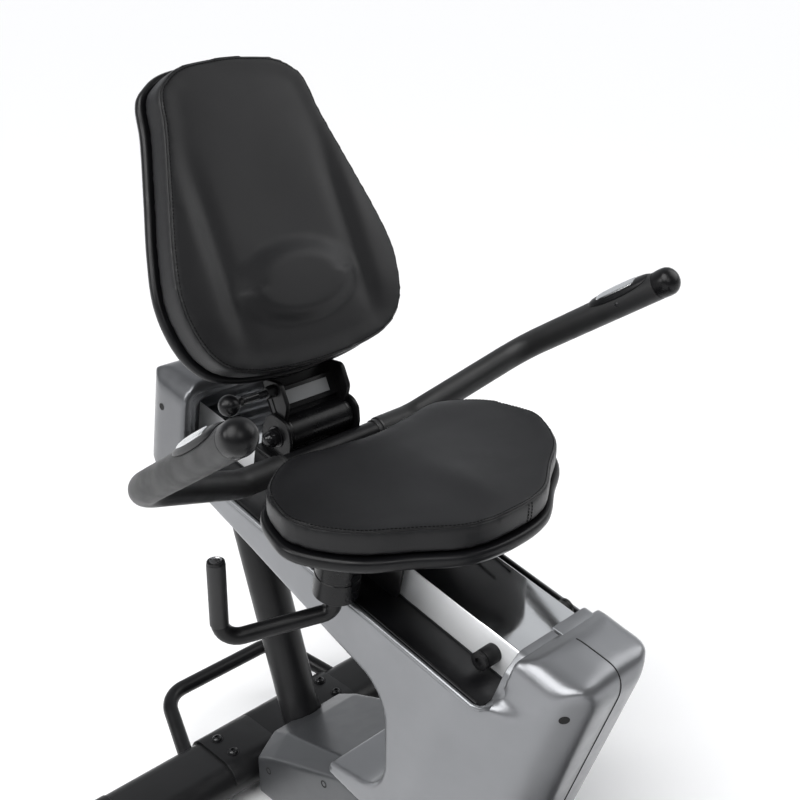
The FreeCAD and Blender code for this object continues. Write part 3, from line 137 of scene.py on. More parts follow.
SATIN = dict(rough=0.34, metal=0.72, tone=0.035, rough_spread=0.06, grain=2600, grain_depth=0.00001,
             coat=0.35,
             coat_rough=0.16)
LOOKS = {
    "frame_paint": dict(color=(0.0045, 0.0045, 0.005), rough=0.34, specular=0.25, grain=1400,
                        grain_depth=0.00006, tone=0.25, wear=0.10),
    "rail_metal": dict(color=(0.80, 0.81, 0.82), rough=0.10, side_rough=0.45, side_metal=0.35, metal=1.0,
                       tone=0.06, rough_spread=0.07, grain=260, grain_depth=0.000012,
                       stretch=((0.05, 1, 1), RAIL_ANGLE)),
    "shell_silver": dict(SATIN, color=(0.215, 0.22, 0.23)),
    "cap_grey": dict(SATIN, color=(0.12, 0.123, 0.13)),
    "foot_grey": dict(SATIN, color=(0.075, 0.078, 0.083), rough=0.36, metal=0.6, coat=0.25),
    "trim_black": dict(color=(0.0045, 0.0045, 0.0052), rough=0.34, specular=0.27, grain=1500,
                       grain_depth=0.00005, tone=0.2),
    "pad_vinyl": dict(color=(0.0060, 0.0060, 0.0068), rough=0.40, rough_spread=0.03, grain=900,
                      grain_depth=0.00012, leather=True, tone=0.08, tone_scale=7, seam=True, specular=0.32),
    "grip_foam": dict(color=(0.012, 0.012, 0.0125), rough=0.44, specular=0.4, grain=1700,
                      grain_depth=0.00022, tone=0.3),
    "rubber": dict(color=(0.005, 0.005, 0.0055), rough=0.45, specular=0.25, grain=1200, grain_depth=0.0001,
                   tone=0.25),
    "steel": dict(color=(0.55, 0.55, 0.56), rough=0.3, metal=1.0, grain=900, grain_depth=0.00002),
    "zinc": dict(color=(0.62, 0.62, 0.63), rough=0.2, metal=1.0, grain=900, grain_depth=0.00001),
    "iron": dict(color=(0.09, 0.09, 0.095), rough=0.45, metal=0.9, grain=700, grain_depth=0.00005),
    "belt": dict(color=(0.02, 0.02, 0.02), rough=0.7, grain=900, grain_depth=0.0001),
    "screen": dict(color=(0.012, 0.016, 0.018), rough=0.08, grain=300, grain_depth=0.000002, tone=0.1,
                   coat=1.0, coat_rough=0.03, rough_spread=0.02),
    "button": dict(color=(0.16, 0.165, 0.17), rough=0.5, grain=1800, grain_depth=0.00004),
    "sensor": dict(color=(0.72, 0.73, 0.74), rough=0.22, metal=1.0, grain=800, grain_depth=0.00001),
    "pedal": dict(color=(0.02, 0.02, 0.021), rough=0.55, grain=1300, grain_depth=0.00012),
    "black_gloss": dict(color=(0.004, 0.004, 0.0045), rough=0.30, specular=0.25, grain=900,
                        grain_depth=0.00001),
    "black_steel": dict(color=(0.010, 0.010, 0.011), rough=0.24, metal=0.2, specular=0.4, grain=900,
                        grain_depth=0.00002),
    "thread": dict(color=(0.0015, 0.0015, 0.0015), rough=0.75, specular=0.1, grain=5000, grain_depth=0.0001),
    # hollow: a near-black finish that paints the shade inside grooves, vents, the cover's split line and screw
    # wells
    "hollow": dict(color=(0.004, 0.004, 0.004), rough=0.8, grain=500, grain_depth=0.0001),
    "label": dict(color=(0.25, 0.255, 0.26), rough=0.45, grain=900, grain_depth=0.00001),
    "strap": dict(color=(0.02, 0.02, 0.021), rough=0.6, grain=1500, grain_depth=0.0002),
    "display": dict(color=(0.20, 0.32, 0.30), rough=0.4, grain=900, grain_depth=0.00001),
}
MATERIALS = {name: textured(name, **look) for name, look in LOOKS.items()}
NODE_SLOTS = {part["node"]: part["material_slot"] for part in frame["record"]["subparts"]}


# ---- mesh tools ----

def linked(mesh):
    """A new object in the scene for a mesh."""
    item = bpy.data.objects.new("part", mesh)
    bpy.context.scene.collection.objects.link(item)
    return item


def new_object(verts, faces, matrix=WORLD):
    mesh = bpy.data.meshes.new("part")
    mesh.from_pydata([matrix @ Vector(v) for v in verts], [], faces)
    mesh.validate()
    outward = bmesh.new()
    outward.from_mesh(mesh)
    bmesh.ops.recalc_face_normals(outward, faces=outward.faces)
    outward.to_mesh(mesh)
    outward.free()
    return linked(mesh)


def modify(item, kind, **settings):
    modifier = item.modifiers.new(kind, kind)
    for key, value in settings.items():
        setattr(modifier, key, value)
    return modifier


def apply_all(item):
    """Freeze the object's modifiers into its mesh."""
    graph = bpy.context.evaluated_depsgraph_get()
    mesh = bpy.data.meshes.new_from_object(item.evaluated_get(graph))
    item.modifiers.clear()
    item.data = mesh
    return item


def smooth(item, angle=35):
    for polygon in item.data.polygons:
        polygon.use_smooth = True
    item.data.update()
    if angle:
        item.data.set_sharp_from_angle(angle=radians(angle))
    return item


def bevelled(item, width, segments=3, angle=32):
    modify(item, "BEVEL", width=width, segments=segments, limit_method="ANGLE",
           angle_limit=radians(angle), use_clamp_overlap=True)
    return smooth(apply_all(item), 40)


def combined(item, others, operation):
    """The solid with others joined to it, taken from it or met with it; the others are used up."""
    for other in others:
        modify(item, "BOOLEAN", operation=operation, object=other, solver="EXACT")
    apply_all(item)
    for other in others:
        bpy.data.objects.remove(other)
    return item


def subtract(item, *cutters):
    return combined(item, cutters, "DIFFERENCE")


def merge(items):
    """Several meshes as one."""
    joined = bmesh.new()
    for item in items:
        joined.from_mesh(item.data)
    mesh = bpy.data.meshes.new("part")
    joined.to_mesh(mesh)
    joined.free()
    for item in items:
        bpy.data.objects.remove(item)
    return linked(mesh)


def piece(item, name, slot, *replaced, body="frame"):
    """Give a finished mesh, or several as one, its name, finish and body."""
    if isinstance(item, list):
        item = merge(item)
    item.name = item.data.name = name
    item.data.materials.clear()
    item.data.materials.append(MATERIALS[slot])
    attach(item, body)
    if replaced:
        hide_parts(*replaced)
    return item


def arc_corner(before, corner, after, radius, steps):
    """Points of the tangent arc that rounds a corner, in 2D or 3D."""
    first = (before - corner).normalized()
    second = (after - corner).normalized()
    half = first.angle(second) / 2
    if radius <= 0 or half > pi / 2 - 0.01:
        return [corner.copy()]
    reach = radius / tan(half)
    middle = corner + (first + second).normalized() * (radius / sin(half))
    start = corner + first * reach - middle
    end = corner + second * reach - middle
    turn = start.angle(end)
    return [middle + (start * sin((1 - share) * turn) + end * sin(share * turn)) / sin(turn)
            for share in (step / steps for step in range(steps + 1))]


def rounded(corners, steps=8, closed=True):
    """A polyline through (coordinates..., radius) corners, each rounded by an arc."""
    places = [Vector(c[:-1]) for c in corners]
    points = []
    for index, corner in enumerate(corners):
        if not closed and index in (0, len(corners) - 1):
            points.append(places[index])
            continue
        points += arc_corner(places[index - 1], places[index], places[(index + 1) % len(places)],
                             corner[-1], steps)
    return points


def loft(rings, matrix=WORLD):
    """A closed skin over rings that have the same number of points."""
    count = len(rings[0])
    last = (len(rings) - 1) * count
    faces = [(low + index, low + (index + 1) % count, low + count + (index + 1) % count, low + count + index)
             for low in range(0, last, count) for index in range(count)]
    faces += [tuple(range(count)), tuple(range(last, last + count))]
    return new_object([p for ring in rings for p in ring], faces, matrix)


def prism(outline, low, high, plane="xz", matrix=WORLD):
    """An outline drawn out between two planes: (x, z) along Y, (x, y) along Z or (y, z) along X."""
    lift = {"xz": lambda p, t: (p[0], t, p[1]), "xy": lambda p, t: (p[0], p[1], t),
            "yz": lambda p, t: (t, p[0], p[1])}[plane]
    return loft([[lift(p, t) for p in outline] for t in (low, high)], matrix)


def block(low, high, matrix=WORLD):
    outline = [(low[0], low[1]), (high[0], low[1]), (high[0], high[1]), (low[0], high[1])]
    return prism(outline, low[2], high[2], "xy", matrix)


def ring_points(centre, axis, radius, count):
    side = axis.orthogonal().normalized()
    other = axis.cross(side).normalized()
    return [centre + (side * cos(a) + other * sin(a)) * radius
            for a in (2 * pi * i / count for i in range(count))]


def lathe(origin, axis, profile, matrix=WORLD, count=48):
    """A turned piece from (distance along the axis, radius) pairs."""
    origin, axis = Vector(origin), Vector(axis).normalized()
    rings = [ring_points(origin + axis * along, axis, max(radius, 0.00005), count)
             for along, radius in profile]
    return smooth(loft(rings, matrix), 38)


def turned(length, radius, edge=0.001):
    """The profile of a plain round piece with softened ends."""
    rise = [(edge * (1 - cos(radians(a))), radius - edge + edge * sin(radians(a))) for a in (30, 60, 90)]
    fall = [(length - edge * (1 - sin(radians(a))), radius - edge + edge * sin(radians(a)))
            for a in (90, 60, 30, 0)]
    return [(0.0, radius - edge)] + rise + fall


def sweep(path, radius, count=32, end_round=0.0):
    """A round bar along a polyline; radius is one number or one for each point."""
    path = [Vector(p) for p in path]
    radii = radius if isinstance(radius, list) else [radius] * len(path)
    if end_round:
        first, last = (path[0] - path[1]).normalized(), (path[-1] - path[-2]).normalized()
        for share in (0.3, 0.65, 0.9, 1.0):
            shrink = end_round * (1 - sqrt(1 - share ** 2))
            path.insert(0, path[0] + first * end_round * 0.28)
            path.append(path[-1] + last * end_round * 0.28)
            radii = [radii[0] - shrink * 0.5] + radii + [radii[-1] - shrink * 0.5]
    headings = []
    for index in range(len(path)):
        ahead = path[min(index + 1, len(path) - 1)] - path[max(index - 1, 0)]
        headings.append(ahead.normalized())
    side = headings[0].orthogonal().normalized()
    rings = []
    for point, heading, size in zip(path, headings, radii):
        side = (side - heading * side.dot(heading)).normalized()
        other = heading.cross(side)
        rings.append([point + (side * cos(a) + other * sin(a)) * size
                      for a in (2 * pi * i / count for i in range(count))])
    return smooth(loft(rings), 40)


def moulded(item, voxel, rounds):
    """Soften a solid like a moulding: an even mesh whose edges are rounded."""
    modify(item, "REMESH", mode="VOXEL", voxel_size=voxel, adaptivity=0.0)
    modify(item, "SMOOTH", factor=0.5, iterations=rounds)
    return smooth(apply_all(item), 0)


def hex_bolt(origin, axis, across, height):
    origin, axis = Vector(origin), Vector(axis).normalized()
    rings = [ring_points(origin + axis * along, axis, across / 2 * size, 6)
             for along, size in ((0, 1), (height * 0.75, 1), (height, 0.88))]
    return bevelled(loft(rings), across * 0.02, 2, 20)


def dome_bolt(origin, axis, radius, height, matrix=WORLD):
    """A dome-headed socket bolt."""
    profile = [(0, radius), (height * 0.25, radius), (height * 0.6, radius * 0.86),
               (height * 0.9, radius * 0.6),
               (height, radius * 0.42), (height, radius * 0.4), (height * 0.35, radius * 0.38),
               (height * 0.35, 0.0)]
    return lathe(origin, axis, profile, matrix, 24)


def smoothstep(value, low, high):
    share = min(1, max(0, (value - low) / (high - low)))
    return share * share * (3 - 2 * share)


def arc(radius, start, end, steps, x=0.0, z=0.0):
    """Points of an arc between two angles in degrees."""
    return [(x + radius * cos(a), z + radius * sin(a))
            for a in (radians(start + (end - start) * k / steps) for k in range(steps + 1))]


def slab(corners, near, far, edge, segments=3, matrix=WORLD, steps=0, plane="xz"):
    """A plate cut to a side view, with softened edges; corners are rounded when steps are given."""
    outline = rounded(corners, steps) if steps else corners
    return bevelled(prism(outline, near, far, plane, matrix), edge, segments)


def wells(places, cup, matrix=WORLD):
    """Screw wells on both sides: near-black cups with a thin lip, painted shade standing for the shade inside each
    well.
    """
    return [lathe(matrix @ Vector((x, side * y, z)), (0, side, 0), [(0.0, 0.0)] + cup) for x, y, z in places
            for side in SIDES.values()]


# ---- pads ----

def spline(points):
    """A smooth closed curve through 2D points."""
    count = len(points)
    curve = []
    for index in range(count):
        p0, p1, p2, p3 = (Vector(points[(index + k) % count]) for k in (-1, 0, 1, 2))
        for t in (step / 10 for step in range(10)):
            curve.append(0.5 * (2 * p1 + (p2 - p0) * t + (2 * p0 - 5 * p1 + 4 * p2 - p3) * t * t
                                + (3 * p1 - p0 - 3 * p2 + p3) * t ** 3))
    return curve


def even(points, spacing):
    """A closed line again, with points at an even spacing."""
    loop = points + [points[0]]
    lengths = [0.0]
    for a, b in zip(loop, loop[1:]):
        lengths.append(lengths[-1] + (b - a).length)
    count = max(8, round(lengths[-1] / spacing))
    result, at = [], 0
    for index in range(count):
        goal = lengths[-1] * index / count
        while lengths[at + 1] < goal:
            at += 1
        share = (goal - lengths[at]) / max(lengths[at + 1] - lengths[at], 1e-9)
        result.append(loop[at].lerp(loop[at + 1], share))
    return result


def both_halves(half):
    return half + [(along, -across) for along, across in reversed(half) if across]


def grown(outline, amount):
    """The outline pushed outwards by an amount, inwards if negative."""
    area = sum(a.x * b.y - b.x * a.y for a, b in zip(outline, outline[1:] + outline[:1]))
    sign = 1 if area > 0 else -1
    result = []
    for index, point in enumerate(outline):
        ahead = outline[(index + 1) % len(outline)] - outline[index - 1]
        result.append(point + Vector((ahead.y, -ahead.x)).normalized() * amount * sign)
    return result


SEAT_HALF = [(0.132, 0), (0.123, 0.065), (0.088, 0.12), (0.051, 0.176), (-0.006, 0.214), (-0.048, 0.212),
             (-0.094, 0.189), (-0.130, 0.130), (-0.121, 0.061), (-0.114, 0)]
BACK_HALF = [(0.415, 0), (0.409, 0.070), (0.392, 0.104), (0.374, 0.118), (0.332, 0.126), (0.257, 0.148),
             (0.187, 0.169), (0.129, 0.181), (0.079, 0.1766), (0.0415, 0.160), (0.0187, 0.1318),
             (0.0058, 0.0824),
             (0.0, 0)]
SEAT_OUTLINE = even(spline(both_halves(SEAT_HALF)), 0.004)
BACK_OUTLINE = even(spline(both_halves(BACK_HALF)), 0.004)
# along the pad, across it, out of it
SEAT_PLANE = SEAT
BACK_PLANE = BACK @ Matrix(((0, 0, 1, 0), (0, 1, 0, 0), (1, 0, 0, 0), (0, 0, 0, 1)))


def inward(outline, point):
    """How far a point lies inside an outline, negative outside."""
    best, inside = 1e9, False
    for a, b in zip(outline, outline[1:] + outline[:1]):
        run = b - a
        share = min(1, max(0, (point - a).dot(run) / run.length_squared))
        best = min(best, (a + run * share - point).length)
        if (a.y > point.y) != (b.y > point.y):
            if point.x < a.x + (point.y - a.y) / (b.y - a.y) * (b.x - a.x):
                inside = not inside
    return best if inside else -best


def stuffed(outline, plane, depth, bulge, relief):
    """A pad that is sewn along its outline: pressed out by its filling, then shaped by `relief`."""
    rings = []
    for height, grow in ((-depth, -0.003), (-depth + 0.003, 0.0), (-0.004, 0.0), (0.0, -0.002)):
        rings.append([(p.x, p.y, height) for p in grown(outline, grow)])
    item = loft(rings, plane)
    modify(item, "REMESH", mode="VOXEL", voxel_size=0.005, adaptivity=0.0)
    apply_all(item)
    back = plane.inverted()
    coarse = outline[::3]
    rest = [back @ v.co for v in item.data.vertices]
    sewn = []
    for local in rest:
        near = inward(coarse, Vector((local.x, local.y)))
        sewn.append((near if near > 0 else 0) + min(local.z, 0))
    pins = item.vertex_groups.new(name="pins")
    for index, local in enumerate(rest):
        hold = 1.0 if local.z < -depth + 0.006 else 0.75 * (1 - smoothstep(abs(sewn[index]), 0.003,
                                                                           0.012))
        pins.add([index], hold, "REPLACE")
    cloth = modify(item, "CLOTH").settings
    for key, value in dict(quality=5, mass=0.3, tension_stiffness=15, compression_stiffness=15,
                           shear_stiffness=8, bending_stiffness=0.8, use_pressure=True,
                           uniform_pressure_force=4, vertex_group_mass="pins").items():
        setattr(cloth, key, value)
    cloth.effector_weights.gravity = 0
    for step in range(1, 21):
        bpy.context.scene.frame_set(step)
    start = [v.co.copy() for v in item.data.vertices]
    apply_all(item)
    bpy.context.scene.frame_set(1)
    for vertex, before in zip(item.data.vertices, start):
        push = vertex.co - before
        if push.length > bulge:
            vertex.co = before + push.normalized() * bulge
    out = (plane.to_3x3() @ Vector((0, 0, 1))).normalized()
    for vertex, local, near in zip(item.data.vertices, rest, sewn):
        weight = smoothstep(near, -0.002, 0.03)
        crown = 0
        vertex.co += out * (weight * relief(local.x, local.y) + crown)
    seam = item.data.attributes.new("seam", "FLOAT", "POINT")
    for index, near in enumerate(sewn):
        seam.data[index].value = near
    modify(item, "SMOOTH", factor=0.5, iterations=4)
    modify(item, "SUBSURF", levels=1, render_levels=1)
    apply_all(item)
    return smooth(item, 0)


def capsule(verts, faces, centre, along, radius, half):
    """One stitch: a short thread along a direction."""
    along = along.normalized()
    side = along.orthogonal().normalized()
    other = along.cross(side)
    first = len(verts)
    for reach, size in ((-1, 0.35), (-0.7, 1), (0.7, 1), (1, 0.35)):
        for k in range(6):
            angle = pi * k / 3
            verts.append(centre + along * half * reach
                         + (side * cos(angle) + other * sin(angle)) * radius * size)
    for level in range(3):
        for k in range(6):
            after = (k + 1) % 6
            faces.append((first + level * 6 + k, first + level * 6 + after,
                          first + level * 6 + 6 + after, first + level * 6 + 6 + k))
    faces.append(tuple(first + k for k in range(6)))
    faces.append(tuple(first + 18 + k for k in range(6)))


def stitches(surface, starts, direction, pitch=0.0048, closed=True, thick=0.0006):
    """Threads laid on a surface: each point of a line is dropped on it along a direction."""
    tree = BVHTree.FromObject(surface, bpy.context.evaluated_depsgraph_get())
    landed = []
    for start in starts:
        spot, normal, face, distance = tree.ray_cast(start, direction)
        if spot:
            landed.append(spot + normal * 0.0001)
    verts, faces = [], []
    pairs = list(zip(landed, landed[1:] + landed[:1] if closed else landed[1:]))
    for a, b in pairs:
        if (b - a).length < pitch * 2:
            capsule(verts, faces, (a + b) / 2, b - a, thick, pitch * 0.35)
    return smooth(new_object(verts, faces), 60)


def seat_relief(x, y):
    hollow = exp(-((x + 0.02) / 0.075) ** 2 - ((abs(y) - 0.105) / 0.065) ** 2)
    ridge = exp(-((x - 0.060) / 0.055) ** 2 - (y / 0.030) ** 2)
    rear = smoothstep(-x, 0.06, 0.12)
    return -0.0060 * hollow + 0.0045 * ridge + 0.003 * rear


def back_relief(up, y):
    across = abs(y)
    span = smoothstep(up, 0.02, 0.09) * (1 - smoothstep(up, 0.22, 0.33))
    wing = smoothstep(across, 0.106, 0.140) * span
    valley = exp(-((across - 0.106) / 0.014) ** 2) * span
    reach = hypot(y / 0.100, (up - 0.112) / 0.056)
    soft = 0.50 if up > 0.112 else 0.68
    bump = 1 - smoothstep(reach, soft, 1.08)
    dish = exp(-((up - 0.27) / 0.11) ** 2 - (y / 0.08) ** 2)
    return 0.0045 * wing - 0.0030 * valley + 0.0110 * bump - 0.003 * dish - 0.003


def pads():
    for name, node, outline, plane, depth, relief in (
            ("seat_cushion", "seat_pad", SEAT_OUTLINE, SEAT_PLANE, 0.0355, seat_relief),
            ("back_cushion", "back_pad", BACK_OUTLINE, BACK_PLANE, 0.0445, back_relief)):
        pad = stuffed(outline, plane, depth, 0.007, relief)
        out = plane.to_3x3() @ Vector((0, 0, 1))
        line = even(grown(outline, -0.0052), 0.0048)
        threads = stitches(pad, [plane @ Vector((p.x, p.y, 0.05)) for p in line], -out)
        piece(pad, name, "pad_vinyl", node, body=BODY_OF[node])
        piece(threads, name + "_stitching", "thread", body=BODY_OF[node])
        if node == "seat_pad":
            joins = []
            anchor = min(outline, key=lambda p: (p - Vector((0.131, 0.028))).length)
            index = outline.index(anchor)
            ahead = (outline[(index + 1) % len(outline)] - outline[index - 1]).normalized()
            across = Vector((ahead.y, -ahead.x))
            if across.dot(anchor) < 0:
                across = -across
            for offset in (-0.0035, 0.0035):
                foot = anchor + ahead * offset + across * 0.03
                starts = [plane @ Vector((foot.x, foot.y, -0.004 - 0.0042 * k)) for k in range(8)]
                heading = plane.to_3x3() @ Vector((-across.x, -across.y, 0))
                joins.append(stitches(pad, starts, heading, 0.0042, False, 0.0009))
            piece(joins, "seat_join_stitching", "thread", body=BODY_OF[node])


def dished(outline, plane, profile):
    """A moulded tray behind a pad, from (height, growth of the outline) rings."""
    rings = [[(p.x, p.y, height) for p in grown(outline, grow)] for height, grow in profile]
    return smooth(loft(rings, plane), 50)


def seat_pan():
    profile = [(-0.037, -0.010), (-0.0365, 0.0), (-0.036, 0.0025), (-0.0372, 0.0048), (-0.040, 0.0066),
               (-0.044, 0.0072), (-0.048, 0.0066), (-0.052, 0.0042), (-0.055, 0.0), (-0.0575, -0.006),
               (-0.0590, -0.014), (-0.0598, -0.024)]
    pan = dished(SEAT_OUTLINE, SEAT_PLANE, profile)
    piece(pan, "seat_tray", "trim_black", "seat_pan", body="carriage")
    ribs = []
    for y in (-0.13, -0.09, 0.09, 0.13):
        ribs.append(bevelled(block((-0.09, y - 0.003, -0.0625), (0.06, y + 0.003, -0.059), SEAT), 0.001))
    piece(ribs, "seat_tray_ribs", "trim_black", body="carriage")


def back_shell():
    profile = [(-0.046, -0.010), (-0.0455, 0.0), (-0.045, 0.0022), (-0.0462, 0.0046), (-0.049, 0.0062),
               (-0.053, 0.0066), (-0.057, 0.0056), (-0.061, 0.0022), (-0.064, -0.004), (-0.0660, -0.013),
               (-0.0668, -0.026), (-0.067, -0.040)]
    shell = dished(BACK_OUTLINE, BACK_PLANE, profile)
    piece(shell, "backrest_shell", "trim_black", "back_shell", body="backrest")
    trims = []
    ridge = even(grown(BACK_OUTLINE, -0.050), 0.006)
    path = [BACK_PLANE @ Vector((p.x, p.y, -0.067)) for p in ridge]
    path.append(path[0])
    trims.append(sweep(path, 0.0022, count=10))
    for up in (0.12, 0.30):
        for y in (-0.07, 0.07):
            trims.append(dome_bolt(BACK @ Vector((-0.067, y, up)),
                                   BACK.to_3x3() @ Vector((-1, 0, 0)), 0.007, 0.004))
    piece(trims, "backrest_shell_ridge", "trim_black", body="backrest")


# ---- carriage, hinge and handles ----

def carriage():
    """The channel on the rail, with its plates, lever socket and bolts."""
    parts = [bevelled(block((-0.138, -0.072, 0.008), (0.158, 0.072, 0.012), RAIL), 0.0012)]
    cheek = [(-0.138, -0.018, 0.006), (-0.062, -0.018, 0.008), (-0.052, -0.044, 0.008),
             (0.158, -0.044, 0.010), (0.158, 0.012, 0.002), (-0.138, 0.012, 0.002)]
    for side in SIDES.values():
        parts.append(slab(cheek, side * 0.068, side * 0.072, 0.0008, 2, RAIL, 4))
    drop = -0.060
    base = RAIL.inverted() @ SEAT
    for x in (0.030, 0.122):
        top = (base @ Vector((x - 0.16, 0, drop))).z
        parts.append(bevelled(block((x - 0.006, -0.048, 0.012), (x + 0.006, 0.048, top), RAIL), 0.0012))
    web = [(0.024, 0.012), (0.130, 0.012), (0.128, (base @ Vector((-0.03, 0, drop))).z),
           (0.026, (base @ Vector((-0.13, 0, drop))).z)]
    for y in (-0.048, 0.044):
        parts.append(slab(web, y, y + 0.004, 0.0008, 2, RAIL))
    cradle = [(-0.0795, 0.012), (-0.0515, 0.012), (-0.0515, 0.0202), (-0.0556, 0.0150), (-0.0610, 0.0124),
              (-0.0710, 0.0124), (-0.0764, 0.0150), (-0.0795, 0.0202)]
    for y in (-0.050, 0.0, 0.050):
        parts.append(slab(cradle, y - 0.012, y + 0.012, 0.0006, 2, RAIL))
    piece(parts, "carriage_plates", "frame_paint", "carriage_frame", body="carriage")
    top = (base @ Vector((-0.03, -0.14, drop))).z
    socket = lathe((0.116, -0.140, 0), (0, 0, 1), [
        (-0.026, 0.010), (-0.026, 0.0275), (-0.0245, 0.029), (0.004, 0.029), (0.005, 0.0280), (0.007, 0.0280),
        (0.008, 0.029), (top, 0.029)], RAIL)
    arm = bevelled(block((0.101, -0.125, 0.022), (0.131, -0.044, top - 0.012), RAIL), 0.002)
    piece([socket, arm], "lever_socket", "black_gloss", body="carriage")
    bolts = [dome_bolt(RAIL @ Vector((0.105, side * 0.072, -0.018)), (0, side, 0), 0.007, 0.004)
             for side in (-1, 1)]
    bolts += [dome_bolt((-0.034, y, 0.012), (0, 0, 1), 0.0075, 0.0045, RAIL)
              for y in (0.020, -0.020, 0.056, -0.056)]
    piece(bolts, "carriage_bolts", "black_steel", body="carriage")


def hinge():
    """Flanges, barrel, pin with acorn nuts, ears and the blank plate above the barrel."""
    at = HINGE_AT
    parts = [bevelled(block((at - 0.032, -0.072, 0.012), (at + 0.026, 0.072, 0.017), RAIL), 0.0015)]
    flange = [(at - 0.030, 0.016, 0.003), (at + 0.030, 0.016, 0.003), (at + 0.030, 0.046, 0.018),
              (at + 0.022, 0.0745, 0.022), (at - 0.022, 0.0745, 0.022), (at - 0.030, 0.046, 0.018)]
    dome = [(0.011 + 0.010 * z, 0.0105 * x) for x, z in arc(1, 0, 90, 9)]
    nuts = []
    for side in SIDES.values():
        parts.append(slab(flange, side * 0.058, side * 0.063, 0.0012, 3, RAIL, 6))
        axis = Vector((0, side, 0))
        foot = HINGE + axis * 0.063
        nuts += [lathe(foot, axis, turned(0.002, 0.015, 0.0005)),
                 hex_bolt(foot + axis * 0.002, axis, 0.025, 0.009),
                 lathe(foot, axis, dome)]
    piece(parts, "hinge_cheeks", "black_gloss", "hinge_base", body="carriage")
    piece(nuts, "hinge_acorn_nuts", "black_steel", "hinge_pin", body="carriage")
    half = [(0, 0.009), (0, 0.0215), (0.0015, 0.023), (0.005, 0.023), (0.006, 0.0222), (0.008, 0.0222),
            (0.009, 0.023)]
    barrel = lathe(HINGE - Vector((0, 0.0565, 0)), (0, 1, 0),
                   half + [(0.113 - y, r) for y, r in reversed(half)])
    piece(barrel, "hinge_barrel", "black_gloss", body="backrest")
    foot = (BACK.inverted() @ HINGE).z
    ear = [(-0.073, foot + 0.004, 0.002), (-0.052, foot + 0.014, 0.004), (-0.034, foot + 0.034, 0.014),
           (-0.034, -0.012, 0.010), (-0.060, -0.002, 0.004), (-0.073, -0.002, 0.001)]
    ears = [slab(ear, side * 0.050, side * 0.057, 0.001, 3, BACK, 5) for side in SIDES.values()]
    ears.append(bevelled(block((-0.073, -0.057, foot + 0.010), (-0.067, 0.057, 0.110), BACK), 0.0015))
    ears.append(bevelled(block((-0.0625, -0.057, -0.050), (-0.0575, 0.057, -0.018), BACK), 0.001))
    ears.append(hex_bolt(BACK @ Vector((-0.050, -0.057, -0.019)), (0, -1, 0), 0.018, 0.013))
    piece(ears, "backrest_bracket", "frame_paint", "back_bracket", body="backrest")
    plate = bevelled(block((-0.0575, -0.037, -0.043), (-0.0565, 0.037, -0.024), BACK), 0.0004, 2)
    piece(plate, "blank_plate", "label", body="backrest")
    ball = [(0.0145 - x, z) for x, z in arc(0.0145, 0, 144, 16)]
    ball += [(0.030, 0.0068), (0.034, 0.0062), (0.0345, 0.005)]
    piece(lathe(BACK @ Vector((-0.050, -0.1445, -0.019)), (0, 1, 0), ball), "recline_knob_ball",
          "black_gloss",
          "recline_knob", body="knob")
    thread = [(step * 0.0006, 0.0041 if step % 2 else 0.0048) for step in range(48)]
    piece(lathe(BACK @ Vector((-0.050, -0.112, -0.019)), (0, 1, 0), [(0, 0.004)] + thread
                + [(0.030, 0.0048), (0.060, 0.0048)]), "recline_pin_rod", "black_steel", body="knob")


def handle_line(side):
    """One half of the side handlebar's centre line: middle, elbow, corner, end."""
    middle = RAIL @ Vector((-0.066, 0, 0.027))
    elbow = (middle.x, side * 0.154, middle.z)
    corner = (-0.466, side * 0.332, 0.691)
    end = (-0.252, side * 0.349, 0.832)
    return rounded([(*middle, 0), (*elbow, 0.062), (*corner, 0.062), (*end, 0)], 10, closed=False)


def handles():
    halves = {name: handle_line(side) for name, side in SIDES.items()}
    bar = halves["right"][::-1][3:] + halves["left"][1:-3]
    piece(sweep(bar, 0.015), "side_handle_tube", "frame_paint", "side_handlebar", body="carriage")
    for name, side in SIDES.items():
        line = halves[name]
        end, before = line[-1], line[-2]
        ahead = (end - before).normalized()
        across = Vector((0, 0, 1)).cross(ahead).normalized()
        up = ahead.cross(across)
        start = Vector((line[0].x, side * 0.088, line[0].z))
        lip = Vector((0, side * 0.0016, 0))
        sleeve_line = [start, start + lip] + line[1:-1] + [end - ahead * 0.004, end]
        radii = [0.0172, 0.0186] + [0.019] * (len(sleeve_line) - 3) + [0.0188]
        sleeve = sweep(sleeve_line, radii, count=40)
        collar = sweep([start - lip * 5, start - lip * 4.4, start - lip * 0.6, start],
                       [0.0158, 0.0168, 0.0168, 0.0160])
        piece([sleeve, collar], f"side_handle_sleeve_{name}", "grip_foam",
              *(["handle_grips"] if side < 0 else []), body="carriage")
        cap = [(0.0003, 0.0180), (0.0012, 0.0190), (0.010, 0.0195), (0.0140, 0.0192)]
        cap += [(0.0140 + 0.0150 * sin(radians(a)), 0.0192 * cos(radians(a)))
                for a in range(12, 91, 12)]
        piece(lathe(end, ahead, cap), f"side_handle_cap_{name}", "black_gloss",
              *(["handle_end_caps"] if side < 0 else []), body="carriage")
        housing = saddle_skin(end, ahead, across, up, 0.0236, 0.0192, -0.110, -0.008, 66, 0.048)
        plates = []
        for sign in (-1, 1):
            plates.append(saddle_skin(end, ahead, across, up, 0.0250, 0.0232, -0.092, -0.026, 21, 0.032,
                                      centre=sign * 27))
        piece(housing, f"pulse_saddle_{name}", "trim_black",
              *(["pulse_sensors"] if side < 0 else []), body="carriage")
        piece(plates, f"pulse_plates_{name}", "sensor", body="carriage")
        screw = end - ahead * 0.062 - across * side * 0.0188
        piece(dome_bolt(screw, -across * side, 0.0035, 0.0014), f"sleeve_screw_{name}", "black_steel",
              body="carriage")


